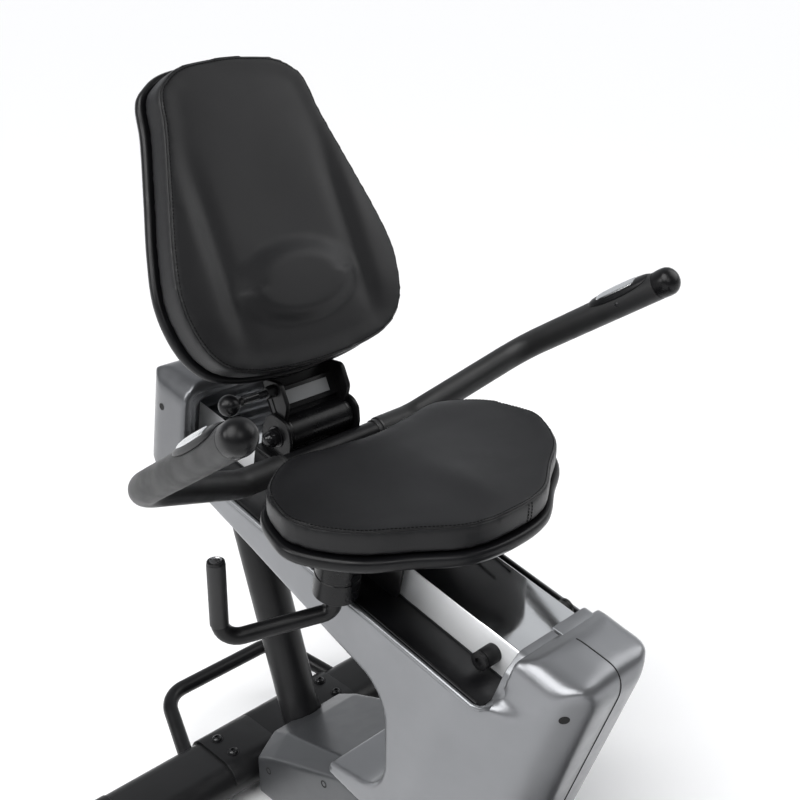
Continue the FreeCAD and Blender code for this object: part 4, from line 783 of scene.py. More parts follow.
def saddle_skin(end, ahead, across, up, outer, inner, low, high, spread, taper, centre=0.0):
    """A curved plate that lies round the top of a bar, thinning to its ends."""
    rings = []
    steps = 22
    for step in range(steps + 1):
        along = low + (high - low) * step / steps
        near = min(along - low, high - along)
        fade = sqrt(max(0.0, 1 - (1 - min(1, near / taper)) ** 2))
        thick = inner + (outer - inner) * (0.15 + 0.85 * fade)
        width = spread * (0.55 + 0.45 * fade)
        ring = []
        for k in range(15):
            share = k / 14 * 2 - 1
            angle = radians(centre + width * share)
            edge = sqrt(max(0.0, 1 - abs(share) ** 6))
            size = inner + (thick - inner) * (0.35 + 0.65 * edge)
            ring.append(end + ahead * along + (across * sin(angle) + up * cos(angle)) * size)
        for k in range(14, -1, -1):
            share = k / 14 * 2 - 1
            angle = radians(centre + width * share)
            ring.append(end + ahead * along + (across * sin(angle) + up * cos(angle)) * (inner - 0.0006))
        rings.append(ring)
    return smooth(loft(rings), 55)


def seat_lever():
    pivot = RAIL @ Vector((0.116, -0.140, -0.008))
    below = RAIL @ Vector((0.116, -0.140, -0.058))
    corner = Vector((below.x - 0.066, -0.262, below.z - 0.018))
    top = corner + Vector((0.002, 0, 0.112))
    line = rounded([(*pivot, 0), (*below, 0.016), (*corner, 0.024), (*top, 0)], 8, closed=False)
    piece(sweep(line, 0.0108, end_round=0.001), "seat_lever_rod", "frame_paint", "seat_lever", body="lever")
    low = corner + Vector((0, 0, 0.024))
    profile = [(0, 0.0106), (0.0006, 0.0113), (0.002, 0.0115), (0.084, 0.0115), (0.0855, 0.0112),
               (0.0865, 0.0098)]
    piece(lathe(low, top - low, profile), "seat_lever_sleeve", "grip_foam", body="lever")
    piece(lathe(top - Vector((0, 0, 0.002)), (0, 0, 1), turned(0.0045, 0.0072, 0.0012)), "seat_lever_tip",
          "steel", body="lever")


# ---- rail and covers ----

def rail():
    outline = rounded([(-0.055, -0.052, 0.003), (0.055, -0.052, 0.003), (0.055, 0.0, 0.0028),
                       (-0.055, 0.0, 0.0028)], 5)
    bar = prism(outline, -0.322, 0.385, "yz", RAIL)
    piece(smooth(bar, 30), "seat_rail", "rail_metal", "rail")
    trays, beads = [], []
    for side in SIDES.values():
        tray = bevelled(block((-0.239, side * 0.0553, -0.055), (0.338, side * 0.113, -0.052), RAIL), 0.0008,
                        2)
        lip = bevelled(block((-0.236, side * 0.1105, -0.0525), (0.334, side * 0.1135, -0.0475), RAIL),
                       0.0010, 3)
        bead = [RAIL @ Vector(p) for p in ((-0.238, side * 0.1162, -0.0528), (0.330, side * 0.1162, -0.0528),
                                           (0.339, side * 0.1125, -0.0528), (0.3425, side * 0.104, -0.0528),
                                           (0.3425, side * 0.058, -0.0528))]
        beads.append(sweep(bead, 0.0034, count=14, end_round=0.002))
        trays += [tray, lip]
    piece(trays, "rail_tray_strips", "trim_black", "rail_trays")
    piece(beads, "tray_edge_beads", "shell_silver")
    stops = []
    for side in SIDES.values():
        profile = [(0.0, 0.012), (0.019, 0.012), (0.0205, 0.0112), (0.021, 0.0085), (0.0215, 0.0085),
                   (0.0215, 0.0108), (0.0225, 0.0118), (0.0265, 0.0118), (0.0275, 0.0105), (0.0275, 0.005),
                   (0.024, 0.0046), (0.024, 0.0)]
        stops.append(lathe(RAIL @ Vector((0.303, side * 0.055, -0.026)), (0, side, 0), profile, count=36))
    piece(stops, "rail_stop_bumpers", "rubber", "rail_stops")


def seat_housing():
    """The cover under the rail: limb, pedestal and nose, with the collar round the rail's front end."""
    corners = [(-0.682, 0.5715, 0), (-0.137, 0.460, 0), (-0.124, 0.512, 0.005), (-0.092, 0.521, 0.024),
               (-0.022, 0.509, 0.030), (-0.141, 0.152, 0.024), (-0.408, 0.205, 0.004), (-0.404, 0.222, 0.004),
               (-0.297, 0.234, 0.058), (-0.294, 0.396, 0.066), (-0.400, 0.434, 0.060), (-0.560, 0.494, 0.080),
               (-0.694, 0.541, 0)]
    body = prism(rounded(corners, 12), -0.1195, 0.1195)
    plan = rounded([(-0.9, -0.1195, 0), (-0.150, -0.1195, 0.08), (-0.047, -0.084, 0.05),
                    (-0.006, -0.036, 0.034),
                    (-0.006, 0.036, 0.034), (-0.047, 0.084, 0.05), (-0.150, 0.1195, 0.08),
                    (-0.9, 0.1195, 0)], 10)
    rings = [[(x + shift, y, z) for x, y in plan] for z, shift in ((0.560, 0.0068), (0.10, -0.1496))]
    body = combined(body, [loft(rings)], "INTERSECT")
    half = [(0.121, -0.60, 0), (0.121, -0.052, 0.005), (0.090, -0.052, 0.018), (0.077, 0.0165, 0.026),
            (0.018, 0.0205, 0.05)]
    arch = rounded([(-y, w, r) for y, w, r in half] + half[::-1], 8)
    body = combined(body, [prism(arch, -0.5, 0.6, "yz", RAIL)], "INTERSECT")
    recess = block((-0.42, -0.1145, -0.0545), (0.341, 0.1145, 0.25), RAIL)
    slot_room = block((-0.10, -0.0555, -0.0535), (0.386, 0.0555, 0.0008), RAIL)
    body = subtract(body, recess, slot_room)
    slots = [prism([(-0.360, y - 0.0085), (-0.312, y - 0.0045), (-0.312, y + 0.0045), (-0.360, y + 0.0085)],
                   0.216, 0.252, "xy") for y in (-0.036, 0.0, 0.036)]
    body = moulded(subtract(body, *slots), 0.0026, 12)
    nose = body.vertex_groups.new(name="nose")
    to_rail = RAIL.inverted()
    for vertex in body.data.vertices:
        place = to_rail @ vertex.co
        begin = 0.326 if abs(place.y) > 0.085 else 0.356
        nose.add([vertex.index], smoothstep(place.x, begin, begin + 0.036), "REPLACE")
    modify(body, "SMOOTH", factor=0.5, iterations=70, vertex_group="nose")
    smooth(apply_all(body), 0)
    piece(body, "seat_cover_shell", "shell_silver", "seat_housing_right", "seat_housing_left")
    skin = BVHTree.FromObject(body, bpy.context.evaluated_depsgraph_get())
    collar = []
    for side, grow in ((-1, 0.0), (1, 0.0028)):
        outline = [(side * y, z, r) for y, z, r in (
            (0.0007, 0.0075 + grow, 0), (0.060 + grow, 0.0075 + grow, 0.015), (0.079 + grow, -0.014, 0.020),
            (0.092 + grow, -0.0525, 0.002), (0.083, -0.0525, 0.001), (0.0565, -0.004, 0.006),
            (0.0565, 0.0008, 0.001), (0.0007, 0.0008, 0))]
        collar.append(slab(outline, 0.3385 - grow / 2, 0.360, 0.0020, 4, RAIL, 6, "yz"))
    piece(collar, "rail_collar", "shell_silver")
    # the split line between the shell's halves is a thin near-black bar laid on the surface: painted shade of the
    # gap
    middle = Vector((-0.120, 0, 0.440))
    line = []
    for step in range(40):
        angle = radians(74 - step * 2.6)
        ray = Vector((cos(angle), 0, sin(angle)))
        hit = skin.ray_cast(middle + ray * 0.4, -ray)[0]
        if hit:
            line.append(hit)
    for step in range(15):
        hit = skin.ray_cast(Vector((0.3, 0, line[-1].z - 0.013)), Vector((-1, 0, 0)))[0]
        if hit and hit.z > 0.165:
            line.append(hit)
    piece(sweep(line, 0.0009, count=8), "cover_split_line", "hollow")
    # thin near-black discs on the nose: painted shade of its screw wells
    for name, side in SIDES.items():
        axis = Vector((0.50, side * 0.86, 0.05)).normalized()
        spot, normal = skin.ray_cast(Vector((-0.056, side * 0.071, 0.463)) + axis * 0.1, -axis)[:2]
        ring = [(0.0004, 0.0), (0.0004, 0.0050), (0.0007, 0.0058), (0.0004, 0.0064), (-0.001, 0.0066)]
        piece(lathe(spot, normal, ring), f"nose_screw_well_{name}", "hollow")


def rear_cap():
    """The cap on the rail's rear end, with stepped frames round its mouth."""
    rear, front, top = -0.345, -0.240, 0.064
    corners = [(rear, -0.096, 0.014), (rear + 0.006, top, 0.044), (front, top + 0.004, 0.010),
               (front, -0.096, 0.004)]
    body = prism(rounded(corners, 8), -0.1195, 0.1195, "xz", RAIL)
    plan = rounded([(rear, -0.1195, 0.052), (0.2, -0.1195, 0), (0.2, 0.1195, 0), (rear, 0.1195, 0.052)], 10)
    body = combined(body, [prism(plan, -0.2, 0.2, "xy", RAIL)], "INTERSECT")
    arch = rounded([(-0.1195, -0.2, 0), (0.1195, -0.2, 0), (0.1195, 0.068, 0.034), (-0.1195, 0.068, 0.034)],
                   8)
    body = combined(body, [prism(arch, -0.5, 0.0, "yz", RAIL)], "INTERSECT")
    steps = []
    for half, low, high, back in ((0.104, -0.062, 0.050, front - 0.012),
                                  (0.088, -0.060, 0.032, front - 0.030),
                                  (0.074, -0.058, 0.016, front - 0.050)):
        outline = rounded([(-half, low, 0.010), (half, low, 0.010), (half, high, 0.014),
                           (-half, high, 0.014)], 4)
        steps.append(prism(outline, back, 0.1, "yz", RAIL))
    body = subtract(body, *steps)
    body = moulded(body, 0.0026, 7)
    piece(body, "rail_cap_cover", "cap_grey", "rail_end_cap")
    # near-black cups on the cap: painted shade of its screw wells
    piece(wells([(-0.292, 0.1192, 0.010)], [(0.0, 0.004), (0.0008, 0.0052), (0.0010, 0.0046),
                                            (0.0004, 0.003)],
                RAIL), "rail_cap_screw_wells", "hollow")


def stadium(x, width, height):
    """A flat oval seen from the side, round x and the stabilisers' height."""
    flat, radius = (width - height) / 2, height / 2
    return arc(radius, 90, -90, 14, x + flat, 0.048) + arc(radius, -90, -270, 14, x - flat, 0.048)


def rear_base():
    """Column, its faceted foot cover, the stabiliser with its saddle bracket, and the lift handle."""
    tube = lathe((0, 0, 0), (0, 0, 1), [(0, 0.031), (0.50, 0.031)], COLUMN, 56)
    piece(tube, "column_tube", "frame_paint", "rear_column")
    sections = []
    for x, edge, wide, top in ((-0.598, 0.100, 0.066, 0.131), (-0.560, 0.120, 0.070, 0.150),
                               (-0.408, 0.178, 0.082, 0.2025), (-0.404, 0.177, 0.082, 0.2015),
                               (-0.250, 0.150, 0.084, 0.1715)):
        half = [(0.100, 0.036), (0.100, edge), (wide, top)]
        sections.append([(x, -y, z) for y, z in half] + [(x, y, z) for y, z in reversed(half)])
    hole = lathe((0, 0, -0.04), (0, 0, 1), [(0, 0.0318), (0.3, 0.0318)], COLUMN, 56)
    tunnel = block((-0.70, -0.0506, 0.0), (-0.2, 0.0506, 0.0785))
    cover = moulded(subtract(loft(sections), hole, tunnel), 0.0028, 5)
    piece(cover, "column_foot_cover", "foot_grey", "rear_shroud")
    # near-black cups on the foot cover: painted shade of its screw wells
    piece(wells([(-0.570, 0.0995, 0.092), (-0.440, 0.0995, 0.150)],
                [(0.0, 0.0045), (0.001, 0.0058), (0.0012, 0.005), (0.0004, 0.0034)]),
          "foot_cover_screw_well_shade", "hollow")

    for end, x, width, half in (("rear", -0.6725, 0.115, 0.296), ("front", 0.740, 0.090, 0.240)):
        bar = smooth(prism(stadium(x, width, 0.060), -half, half), 30)
        piece(bar, f"{end}_stabilizer_tube", "frame_paint", f"{end}_stabilizer")
    caps = []
    for side in SIDES.values():
        rings = [[(x, side * along, z) for x, z in stadium(-0.6725, 0.115 + 2 * grow, 0.060 + 2 * grow)]
                 for along, grow in ((0.296, 0.0), (0.297, 0.0015), (0.314, 0.0015), (0.318, -0.001),
                                     (0.320, -0.006))]
        caps.append(smooth(loft(rings), 50))
    piece(caps, "rear_stabilizer_caps", "trim_black", "stabilizer_end_caps")
    wrap, inner = ([p for p in stadium(-0.6725, width, height) if p[1] > 0.049]
                   for width, height in ((0.1240, 0.069), (0.1152, 0.0602)))
    outline = sorted(wrap) + sorted(inner, reverse=True)
    behind = [p for p in outline if p[0] < -0.633]
    gusset = [(-0.634, 0.050), (-0.586, 0.050), (-0.586, 0.090), (-0.622, 0.100), (-0.634, 0.082)]
    plates = [slab(outline, side * 0.036, side * 0.130, 0.0012, 2) for side in SIDES.values()]
    plates.append(slab(behind, -0.037, 0.037, 0.0012, 2))
    plates += [slab(gusset, side * 0.050, side * 0.055, 0.001, 2) for side in SIDES.values()]
    piece(plates, "saddle_plate", "frame_paint", "saddle_bracket")
    bolts = []
    for x in (-0.6935, -0.6515):
        for y in (-0.107, 0.107):
            bolts.append(lathe((x, y, 0.0823), (0, 0, 1), turned(0.0012, 0.0098, 0.0004)))
            bolts.append(dome_bolt((x, y, 0.0835), (0, 0, 1), 0.0078, 0.0045))
    piece(bolts, "saddle_plate_bolts", "black_steel", "saddle_bolts")
    line = rounded([(-0.712, 0.153, 0.060, 0), (-0.828, 0.112, 0.094, 0.045), (-0.828, -0.112, 0.094, 0.045),
                    (-0.712, -0.153, 0.060, 0)], 12, closed=False)
    piece(sweep(line, 0.012), "rear_lift_handle", "frame_paint", "lift_handle")
    outline = rounded([(-0.050, 0.028, 0.006), (0.050, 0.028, 0.006), (0.050, 0.078, 0.006),
                       (-0.050, 0.078, 0.006)], 5)
    piece(smooth(prism(outline, -0.63, 0.71, "yz"), 30), "base_beam_tube", "frame_paint", "base_beam")
    foot = [(0, 0.015), (0, 0.0175), (0.0015, 0.0195), (0.006, 0.020), (0.008, 0.0185), (0.010, 0.0185),
            (0.012, 0.020), (0.0195, 0.020)]
    feet = [lathe((x, y, 0), (0, 0, 1), foot)
            for x, y in ((-0.6725, 0.261), (-0.6725, -0.261), (0.740, 0.210), (0.740, -0.210))]
    piece(feet, "floor_feet", "rubber", "rubber_feet")


# ---- drive, mast and console ----

def drawn_in(outline, amount):
    """An outline made smaller by about an amount, with its foot left at its height."""
    xs, foot = [p.x for p in outline], min(p.y for p in outline)
    middle, half = (min(xs) + max(xs)) / 2, (max(xs) - min(xs)) / 2
    tall = max(p.y for p in outline) - foot
    return [Vector((middle + (p.x - middle) * (1 - amount / half), foot + (p.y - foot) * (1 - amount / tall)))
            for p in outline]


def drive_housing():
    """Two silver shells with a black spine between them, and a black disc round the crank."""
    corners = [(0.198, 0.084, 0.006), (0.198, 0.150, 0.05), (0.262, 0.440, 0.15), (0.400, 0.622, 0.11),
               (0.560, 0.650, 0.06), (0.700, 0.570, 0.13), (0.812, 0.340, 0.15), (0.782, 0.084, 0.05)]
    outline = [Vector(p) for p in rounded(corners, 10)]
    for name, side in SIDES.items():
        rings = [[(p.x, side * across, p.y) for p in drawn_in(outline, amount)] for across, amount in (
            (0.012, 0.003), (0.0125, 0), (0.046, 0), (0.056, 0.0012), (0.065, 0.006), (0.071, 0.0135),
            (0.0745, 0.024), (0.075, 0.034))]
        piece(smooth(loft(rings), 40), f"drive_cover_{name}", "shell_silver", f"drive_housing_{name}")
        disc = [(0.0, 0.0), (0.0, 0.094), (0.002, 0.0965), (0.0045, 0.0965), (0.006, 0.0945), (0.0065, 0.090),
                (0.0045, 0.086), (0.0045, 0.052), (0.0065, 0.048), (0.008, 0.030), (0.008, 0.0175),
                (0.0, 0.0175)]
        foot = Vector((CRANK.x, side * 0.0725, CRANK.z))
        parts = [lathe(foot, (0, side, 0), disc)]
        for k in range(18):
            heading = Vector((cos(pi * k / 9), 0, sin(pi * k / 9)))
            middle = foot + heading * 0.069 + Vector((0, side * 0.0048, 0))
            parts.append(sweep([middle - heading * 0.014, middle + heading * 0.014], 0.0016, count=8,
                               end_round=0.001))
        piece(parts, f"crank_disc_{name}", "trim_black")
        # near-black bars on the cover: painted shade of the vent grooves
        grooves = [sweep([(0.640, side * 0.0748, z), (0.725, side * 0.0748, z + 0.012)], 0.0030, count=10,
                         end_round=0.002) for z in (0.150, 0.168, 0.186)]
        piece(grooves, f"drive_vents_{name}", "hollow")
    spine = [[(p.x, across, max(p.y, 0.084)) for p in grown(outline, grow)]
             for across, grow in ((-0.0122, -0.0015), (-0.009, 0.0016), (0.009, 0.0016), (0.0122, -0.0015))]
    piece(smooth(loft(spine), 40), "drive_cover_spine", "trim_black")
    screws = [dome_bolt((x, side * 0.0748, z), (0, side, 0), 0.0055, 0.0018) for side in SIDES.values()
              for x, z in ((0.300, 0.300), (0.420, 0.560), (0.700, 0.460), (0.720, 0.150))]
    piece(screws, "drive_cover_screws", "steel", "cover_screws")


def step_cover():
    low = [(-0.246, y, z) for y, z in rounded([(-0.096, 0.034, 0.004), (-0.096, 0.128, 0.022),
                                               (-0.066, 0.144, 0.016),
                                               (0.066, 0.144, 0.016), (0.096, 0.128, 0.022),
                                               (0.096, 0.034, 0.004)], 6)]
    far = [(0.197, y, z) for y, z in rounded([(-0.074, 0.034, 0.004), (-0.074, 0.122, 0.020),
                                              (-0.052, 0.135, 0.014),
                                              (0.052, 0.135, 0.014), (0.074, 0.122, 0.020),
                                              (0.074, 0.034, 0.004)], 6)]
    rings = [[Vector(a).lerp(Vector(b), k / 12) for a, b in zip(low, far)] for k in range(13)]
    cover = bevelled(loft(rings), 0.003, 3, 50)
    piece(cover, "step_through_cover", "trim_black", "step_cover")
    mats = []
    for k in range(9):
        x = -0.19 + k * 0.042
        half = 0.060 - 0.010 * k / 8
        z = 0.1445 - 0.0090 * (x + 0.246) / 0.443
        mats.append(sweep([(x, -half, z), (x, half, z)], 0.0022, count=8, end_round=0.0015))
    piece(mats, "step_through_ribs", "rubber")


def crank_set():
    turn = Matrix.Translation(CRANK) @ Matrix.Rotation(radians(40), 4, "Y")
    for name, side in SIDES.items():
        reach = -side
        outline = arc(0.019, 90, 270, 12) + [(0.0595, -0.0135)] + arc(0.0145, -90, 90, 12, 0.170)
        outline = [(x * reach, z) for x, z in outline + [(0.0595, 0.0135)]]
        arm = bevelled(prism(outline, side * 0.082, side * 0.096, "xz", turn), 0.0032, 4, 25)
        # a near-black bar on the arm: painted shade of its groove
        groove_line = [(reach * 0.040, side * 0.0962, 0), (reach * 0.140, side * 0.0962, 0)]
        groove = sweep([turn @ Vector(p) for p in groove_line], 0.0040, count=12, end_round=0.003)
        piece(arm, f"crank_arm_{name}", "frame_paint", *(["crank_arms"] if side < 0 else []), body="crank")
        piece(groove, f"crank_arm_groove_{name}", "hollow", body="crank")
        cap = [(0.0, 0.0125), (0.003, 0.0125), (0.005, 0.0105), (0.0055, 0.006), (0.0045, 0.0)]
        piece(lathe(CRANK + Vector((0, side * 0.096, 0)), (0, side, 0), cap), f"crank_cap_{name}",
              "trim_black", body="crank")
        spindle = [(0.0, 0.0105), (0.004, 0.0105), (0.0045, 0.0060), (0.083, 0.0060), (0.084, 0.0045)]
        foot = turn @ Vector((reach * 0.170, side * 0.096, 0))
        piece(lathe(foot, (0, side, 0), spindle), f"pedal_spindle_{name}", "steel", body="crank")
        pedal(name, side, foot)
    piece(lathe(CRANK - Vector((0, 0.0955, 0)), (0, 1, 0), turned(0.191, 0.009, 0.001)), "crank_axle_bar",
          "steel", "crank_axle", body="crank")


def pedal(name, side, foot):
    """A moulded pedal with tread bars and a toe strap."""
    body = f"{name}_pedal_body"
    near, far = side * 0.003, side * 0.081
    low_y, high_y = sorted((foot.y + near, foot.y + far))
    top, bottom = foot.z + 0.0085, foot.z - 0.0150
    outline = rounded([(foot.x - 0.046, low_y, 0.014), (foot.x + 0.046, low_y, 0.020),
                       (foot.x + 0.046, high_y, 0.026), (foot.x - 0.046, high_y, 0.014)], 6)
    frame_ring = prism(outline, bottom, top, "xy")
    holes = []
    for x in (-0.027, 0.027):
        inner = rounded([(foot.x + x - 0.013, low_y + 0.012, 0.005),
                         (foot.x + x + 0.013, low_y + 0.012, 0.005),
                         (foot.x + x + 0.013, high_y - 0.012, 0.005),
                         (foot.x + x - 0.013, high_y - 0.012, 0.005)], 4)
        holes.append(prism(inner, bottom - 0.01, top + 0.01, "xy"))
    shell = bevelled(subtract(frame_ring, *holes), 0.002, 3, 50)
    parts = [shell]
    for x in (-0.040, -0.013, 0.013, 0.040):
        for k in range(6):
            y = low_y + 0.009 + k * 0.0120
            parts.append(bevelled(block((foot.x + x - 0.0035, y - 0.0030, top - 0.001),
                                        (foot.x + x + 0.0035, y + 0.0030, top + 0.0030)), 0.0009, 2))
    piece(parts, f"pedal_{name}", "pedal", f"{name}_pedal", body=body)
    middle = (low_y + high_y) / 2
    half = (high_y - low_y) / 2 - 0.001
    arch = []
    for k in range(25):
        angle = pi * k / 24
        arch.append((-cos(angle) * half, sin(angle) ** 0.75 * 0.052))
    rings = []
    for y, z in arch:
        lean = z * 0.35
        tangent_scale = 0.0011
        centre = Vector((foot.x + 0.012 + lean, middle + y, top - 0.004 + z))
        out = Vector((0, y / half * 0.8, 0.3 + z / 0.052)).normalized()
        rings.append([centre + Vector((dx, 0, 0)) + out * dn for dx, dn in
                      ((-0.014, -tangent_scale), (0.014, -tangent_scale), (0.014, tangent_scale),
                       (-0.014, tangent_scale))])
    strap = bevelled(loft(rings), 0.0007, 2, 50)
    buckle_y = middle + side * half * 0.98
    buckle = bevelled(block((foot.x - 0.006, buckle_y - 0.0022, top - 0.012),
                            (foot.x + 0.032, buckle_y + 0.0022, top + 0.006)), 0.001, 2)
    piece([strap, buckle], f"pedal_strap_{name}", "strap", body=body)


def mast():
    outline = rounded([(-0.025, -0.025, 0.007), (0.025, -0.025, 0.007), (0.025, 0.025, 0.007),
                       (-0.025, 0.025, 0.007)], 5)
    post = prism(outline, 0.0, 0.688, "xy", MAST)
    piece(smooth(post, 30), "mast_post", "frame_paint", "mast")
    boot = []
    for z, grow in ((0.185, 0.016), (0.215, 0.014), (0.245, 0.006), (0.250, 0.004)):
        boot.append([(x * (1 + grow / 0.025), y * (1 + grow / 0.025), z) for x, y in outline])
    piece(smooth(loft(boot, MAST), 50), "mast_boot", "trim_black")
    plan = prism(rounded([(-0.052, -0.040, 0.012), (-0.026, -0.040, 0.004), (-0.026, 0.040, 0.004),
                                  (-0.052, 0.040, 0.012)], 5), 0.36, 0.375, "xy", MAST)
    ring = bevelled(plan, 0.002, 3, 50)
    piece(ring, "bottle_shelf", "trim_black")
    hoop = [MAST @ Vector((-0.066 + 0.036 * cos(a) * 1.0, 0.036 * sin(a), 0.44))
            for a in (2 * pi * k / 36 for k in range(37))]
    arms = [sweep(hoop, 0.0035, count=12)]
    for y in (-0.02, 0.02):
        arms.append(sweep([MAST @ Vector((-0.026, y, 0.44)), MAST @ Vector((-0.040, y * 1.3, 0.44))], 0.0035,
                          count=10))
        arms.append(sweep([MAST @ Vector((-0.046, y * 1.2, 0.37)), MAST @ Vector((-0.090, y, 0.375)),
                                  MAST @ Vector((-0.098, y, 0.44))], 0.003, count=10))
    piece(arms, "bottle_cage", "frame_paint")


def front_handlebar():
    centre_x = 0.4892
    half = 0.205
    corners = [(centre_x - 0.140, -half, 0.995, 0), (centre_x - 0.020, -half, 0.960, 0.038),
               (centre_x, -half + 0.08, 0.940, 0.038), (centre_x, half - 0.08, 0.940, 0.038),
               (centre_x - 0.020, half, 0.960, 0.038), (centre_x - 0.140, half, 0.995, 0)]
    line = rounded(corners, 10, closed=False)
    bar = sweep(line, 0.0125)
    clamp = bevelled(block((centre_x - 0.018, -0.030, 0.922), (centre_x + 0.030, 0.030, 0.958)), 0.004, 3)
    piece([bar, clamp], "front_bar_tube", "frame_paint", "front_handlebar")
    grips = []
    for side in SIDES.values():
        ends = [Vector((p[0], side * abs(p[1]), p[2])) for p in corners[:2]]
        ahead = (ends[1] - ends[0]).normalized()
        profile = [(-0.006, 0.004), (-0.006, 0.013), (-0.004, 0.0158), (-0.001, 0.0168)]
        for k in range(12):
            profile += [(0.002 + k * 0.0075, 0.0168), (0.0045 + k * 0.0075, 0.0168),
                        (0.0052 + k * 0.0075, 0.0158),
                        (0.0068 + k * 0.0075, 0.0158)]
        profile += [(0.092, 0.0168), (0.094, 0.0160), (0.095, 0.0130)]
        grips.append(lathe(ends[0], ahead, profile))
    piece(grips, "front_bar_grips", "grip_foam")


def console():
    corners = [(-0.143, -0.112, 0.028), (0.143, -0.112, 0.028), (0.165, 0.118, 0.034), (-0.165, 0.118, 0.034)]
    outline = [Vector(p) for p in rounded(corners, 8)]
    rings = []
    for depth, grow in ((0.0020, -0.012), (0.0, -0.009), (0.0003, -0.005), (0.003, -0.0012), (0.008, 0.0),
                        (0.022, -0.001), (0.034, -0.008), (0.040, -0.018), (0.042, -0.025)):
        rings.append([(depth, p.x, p.y) for p in grown(outline, grow)])
    body = loft(rings, CONSOLE)
    window = rounded([(-0.1135, -0.0252, 0.006), (0.1135, -0.0252, 0.006), (0.1135, 0.0930, 0.006),
                      (-0.1135, 0.0930, 0.006)], 5)
    cutters = [prism(window, -0.01, 0.0016, "yz", CONSOLE)]
    for y in (-0.06, 0.0, 0.06):
        cutters.append(lathe((-0.01, y, -0.068), (1, 0, 0), [(0, 0.0114), (0.022, 0.0114)], CONSOLE))
    body = smooth(subtract(body, *cutters), 40)
    piece(body, "console_case", "trim_black", "console_housing")
    glass = rounded([(-0.112, -0.0237, 0.005), (0.112, -0.0237, 0.005), (0.112, 0.0917, 0.005),
                     (-0.112, 0.0917, 0.005)], 5)
    piece(bevelled(prism(glass, 0.0004, 0.0030, "yz", CONSOLE), 0.0005, 2), "console_window", "screen",
          "console_screen")
    rim = rounded([(-0.118, -0.030, 0.009), (0.118, -0.030, 0.009), (0.118, 0.098, 0.009),
                   (-0.118, 0.098, 0.009)], 6)
    path = [CONSOLE @ Vector((-0.0002, y, z)) for y, z in rim]
    path.append(path[0])
    piece(sweep(path, 0.0014, count=8), "console_window_rim", "label")
    marks = []
    for row in range(8):
        for level in range(5):
            if level <= (2 + 2 * sin(row * 0.8)):
                y, z = -0.088 + row * 0.025, -0.012 + level * 0.012
                marks.append(block((0.00015, y - 0.009, z - 0.004), (0.00045, y + 0.009, z + 0.004), CONSOLE))
    piece(marks, "console_bar_marks", "display")
    for name, y in (("mode", -0.06), ("start", 0.0), ("reset", 0.06)):
        profile = [(-0.0030, 0.0), (-0.0030, 0.0088), (-0.0025, 0.0102), (-0.0015, 0.0108), (0.0085, 0.0110)]
        piece(lathe((0, y, -0.068), (1, 0, 0), profile, CONSOLE), f"{name}_key_cap", "button",
              f"{name}_button", body=f"{name}_key")
    shelf = bevelled(block((-0.012, -0.115, -0.101), (0.004, 0.115, -0.096), CONSOLE), 0.0015, 3)
    piece(shelf, "console_book_ledge", "trim_black")


def transport_wheels():
    wheel_x, wheel_z = 0.805, 0.045
    brackets = []
    for name, side in SIDES.items():
        outline = rounded([(0.700, 0.020, 0.006), (0.819, 0.030, 0.012), (0.819, 0.060, 0.014),
                           (0.790, 0.072, 0.012),
                           (0.700, 0.0775, 0.020)], 6)
        brackets.append(bevelled(prism(outline, side * 0.2402, side * 0.252), 0.0025, 3))
        brackets.append(lathe((wheel_x, side * 0.2775, wheel_z), (0, side, 0),
                              [(0, 0.005), (0, 0.0095), (0.0015, 0.0102), (0.0035, 0.0095), (0.0042, 0.006)]))
        profile = [(0.0, 0.0052), (0.0, 0.013), (0.003, 0.014), (0.003, 0.024), (0.0, 0.0265), (0.0, 0.0315),
                   (0.0025, 0.0342), (0.006, 0.035), (0.018, 0.035), (0.0215, 0.0342), (0.024, 0.0315),
                   (0.024, 0.0265), (0.021, 0.024), (0.021, 0.014), (0.024, 0.013), (0.024, 0.0052)]
        foot = Vector((wheel_x, side * 0.253, wheel_z))
        wheel = lathe(foot, (0, side, 0), profile)
        spokes = []
        for k in range(6):
            angle = pi * k / 3
            heading = Vector((cos(angle), 0, sin(angle)))
            middle = foot + Vector((0, side * 0.0225, 0))
            spokes.append(sweep([middle + heading * 0.012, middle + heading * 0.0255], 0.0016, count=8))
        piece(merge([wheel] + spokes), f"transport_roller_{name}", "rubber",
              f"{name}_transport_wheel", body=f"{name}_wheel")
    piece(brackets, "transport_brackets", "trim_black", "wheel_brackets")


def hidden_nodes():
    """Finish for the inner pieces that keep their CAD form."""
    for name, item in NODES.items():
        if item.data and not item.data.materials:
            item.data.materials.append(MATERIALS[NODE_SLOTS[name]])
        else:
            item.data.materials[0] = MATERIALS[NODE_SLOTS[name]]


# ---- stage ----

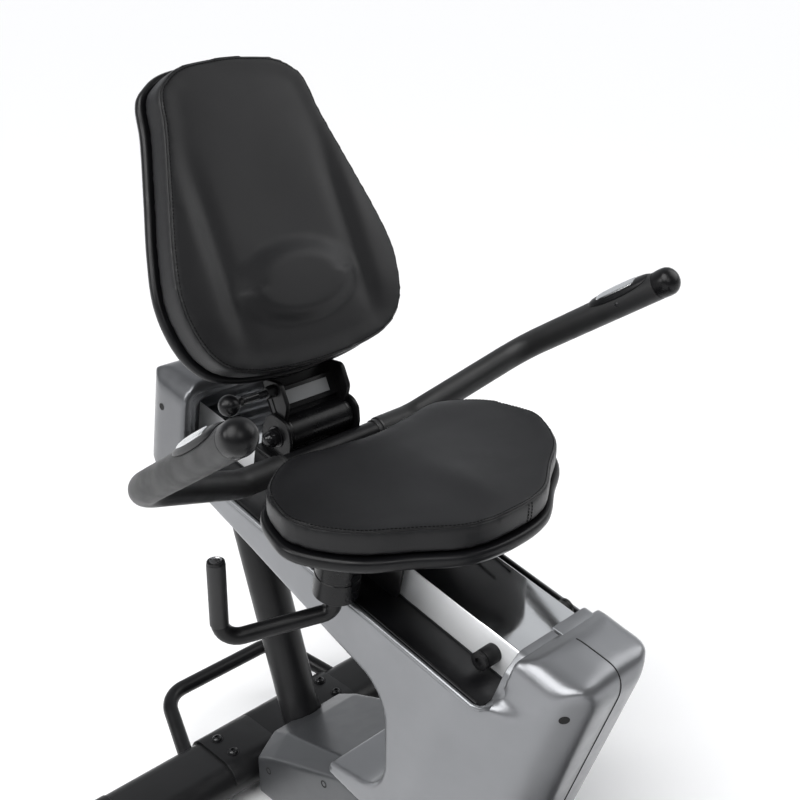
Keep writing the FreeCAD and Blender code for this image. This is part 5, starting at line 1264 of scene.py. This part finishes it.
def stage():
    """A pale floor and backdrop, soft lamps and the camera."""
    floor = new_object([(-60, -60, 0), (60, -60, 0), (60, 60, 0), (-60, 60, 0)], [(0, 1, 2, 3)])
    floor.name = "floor"
    material = bpy.data.materials.new("floor")
    material.use_nodes = True
    shader = material.node_tree.nodes["Principled BSDF"]
    shader.inputs["Base Color"].default_value = (0.96, 0.96, 0.965, 1)
    shader.inputs["Roughness"].default_value = 0.8
    shader.inputs["Specular IOR Level"].default_value = 0.15
    floor.data.materials.append(material)

    scene = bpy.context.scene
    scene.world = bpy.data.worlds.new("studio")
    scene.world.use_nodes = True
    nodes, link = scene.world.node_tree.nodes, scene.world.node_tree.links.new
    seen = nodes.new("ShaderNodeBackground")
    seen.inputs["Color"].default_value = (0.97, 0.97, 0.98, 1)
    given = nodes["Background"]
    given.inputs["Color"].default_value = (0.95, 0.97, 1.0, 1)
    # the studio is lit towards the backdrop and dark behind the camera
    toward = nodes.new("ShaderNodeVectorMath")
    toward.operation = "DOT_PRODUCT"
    toward.inputs[1].default_value = (-0.70, 0.70, 0.0)
    link(nodes.new("ShaderNodeTexCoord").outputs["Generated"], toward.inputs[0])
    backdrop = nodes.new("ShaderNodeMapRange")
    for name, value in (("From Min", 0.15), ("From Max", 0.60), ("To Min", 0.12), ("To Max", 0.62)):
        backdrop.inputs[name].default_value = value
    link(toward.outputs["Value"], backdrop.inputs["Value"])
    link(backdrop.outputs["Result"], given.inputs["Strength"])
    pick = nodes.new("ShaderNodeMixShader")
    link(nodes.new("ShaderNodeLightPath").outputs["Is Camera Ray"], pick.inputs["Fac"])
    link(given.outputs["Background"], pick.inputs[1])
    link(seen.outputs["Background"], pick.inputs[2])
    link(pick.outputs["Shader"], nodes["World Output"].inputs["Surface"])
    scene.view_settings.view_transform = "Standard"

    def put(data, place, target):
        item = bpy.data.objects.new(data.name, data)
        scene.collection.objects.link(item)
        item.location = place
        item.rotation_euler = (Vector(target) - Vector(place)).to_track_quat("-Z", "Y").to_euler()
        return item

    sun = bpy.data.lights.new("daylight", "SUN")
    sun.angle = radians(50)
    sun.energy = 3.1
    put(sun, (0.10, -0.70, 1), (0, 0, 0))
    for name, place, target, size, power in (
            ("key", (1.9, -0.7, 2.7), (-0.4, 0, 0.5), 1.0, 12),
        ("fill", (-1.6, -2.8, 2.0), (-0.4, 0, 0.5), 1.2, 30),
            ("front", (0.30, 1.70, 2.00), (-0.6, 0, 0.95), 1.5, 15)):
        lamp = bpy.data.lights.new(name, "AREA")
        lamp.size = size
        lamp.energy = power
        put(lamp, place, target)
    camera = bpy.data.cameras.new("camera")
    camera.lens = 50.82
    scene.camera = put(camera, (0.540, -0.903, 1.2775), (0, 0, 0))
    scene.camera.rotation_euler = (radians(90 - 22.99), 0, radians(45.77))


hidden_nodes()
stage()
pads()
seat_pan()
back_shell()
carriage()
hinge()
handles()
seat_lever()
rail()
seat_housing()
rear_cap()
rear_base()
drive_housing()
step_cover()
crank_set()
mast()
front_handlebar()
console()
transport_wheels()
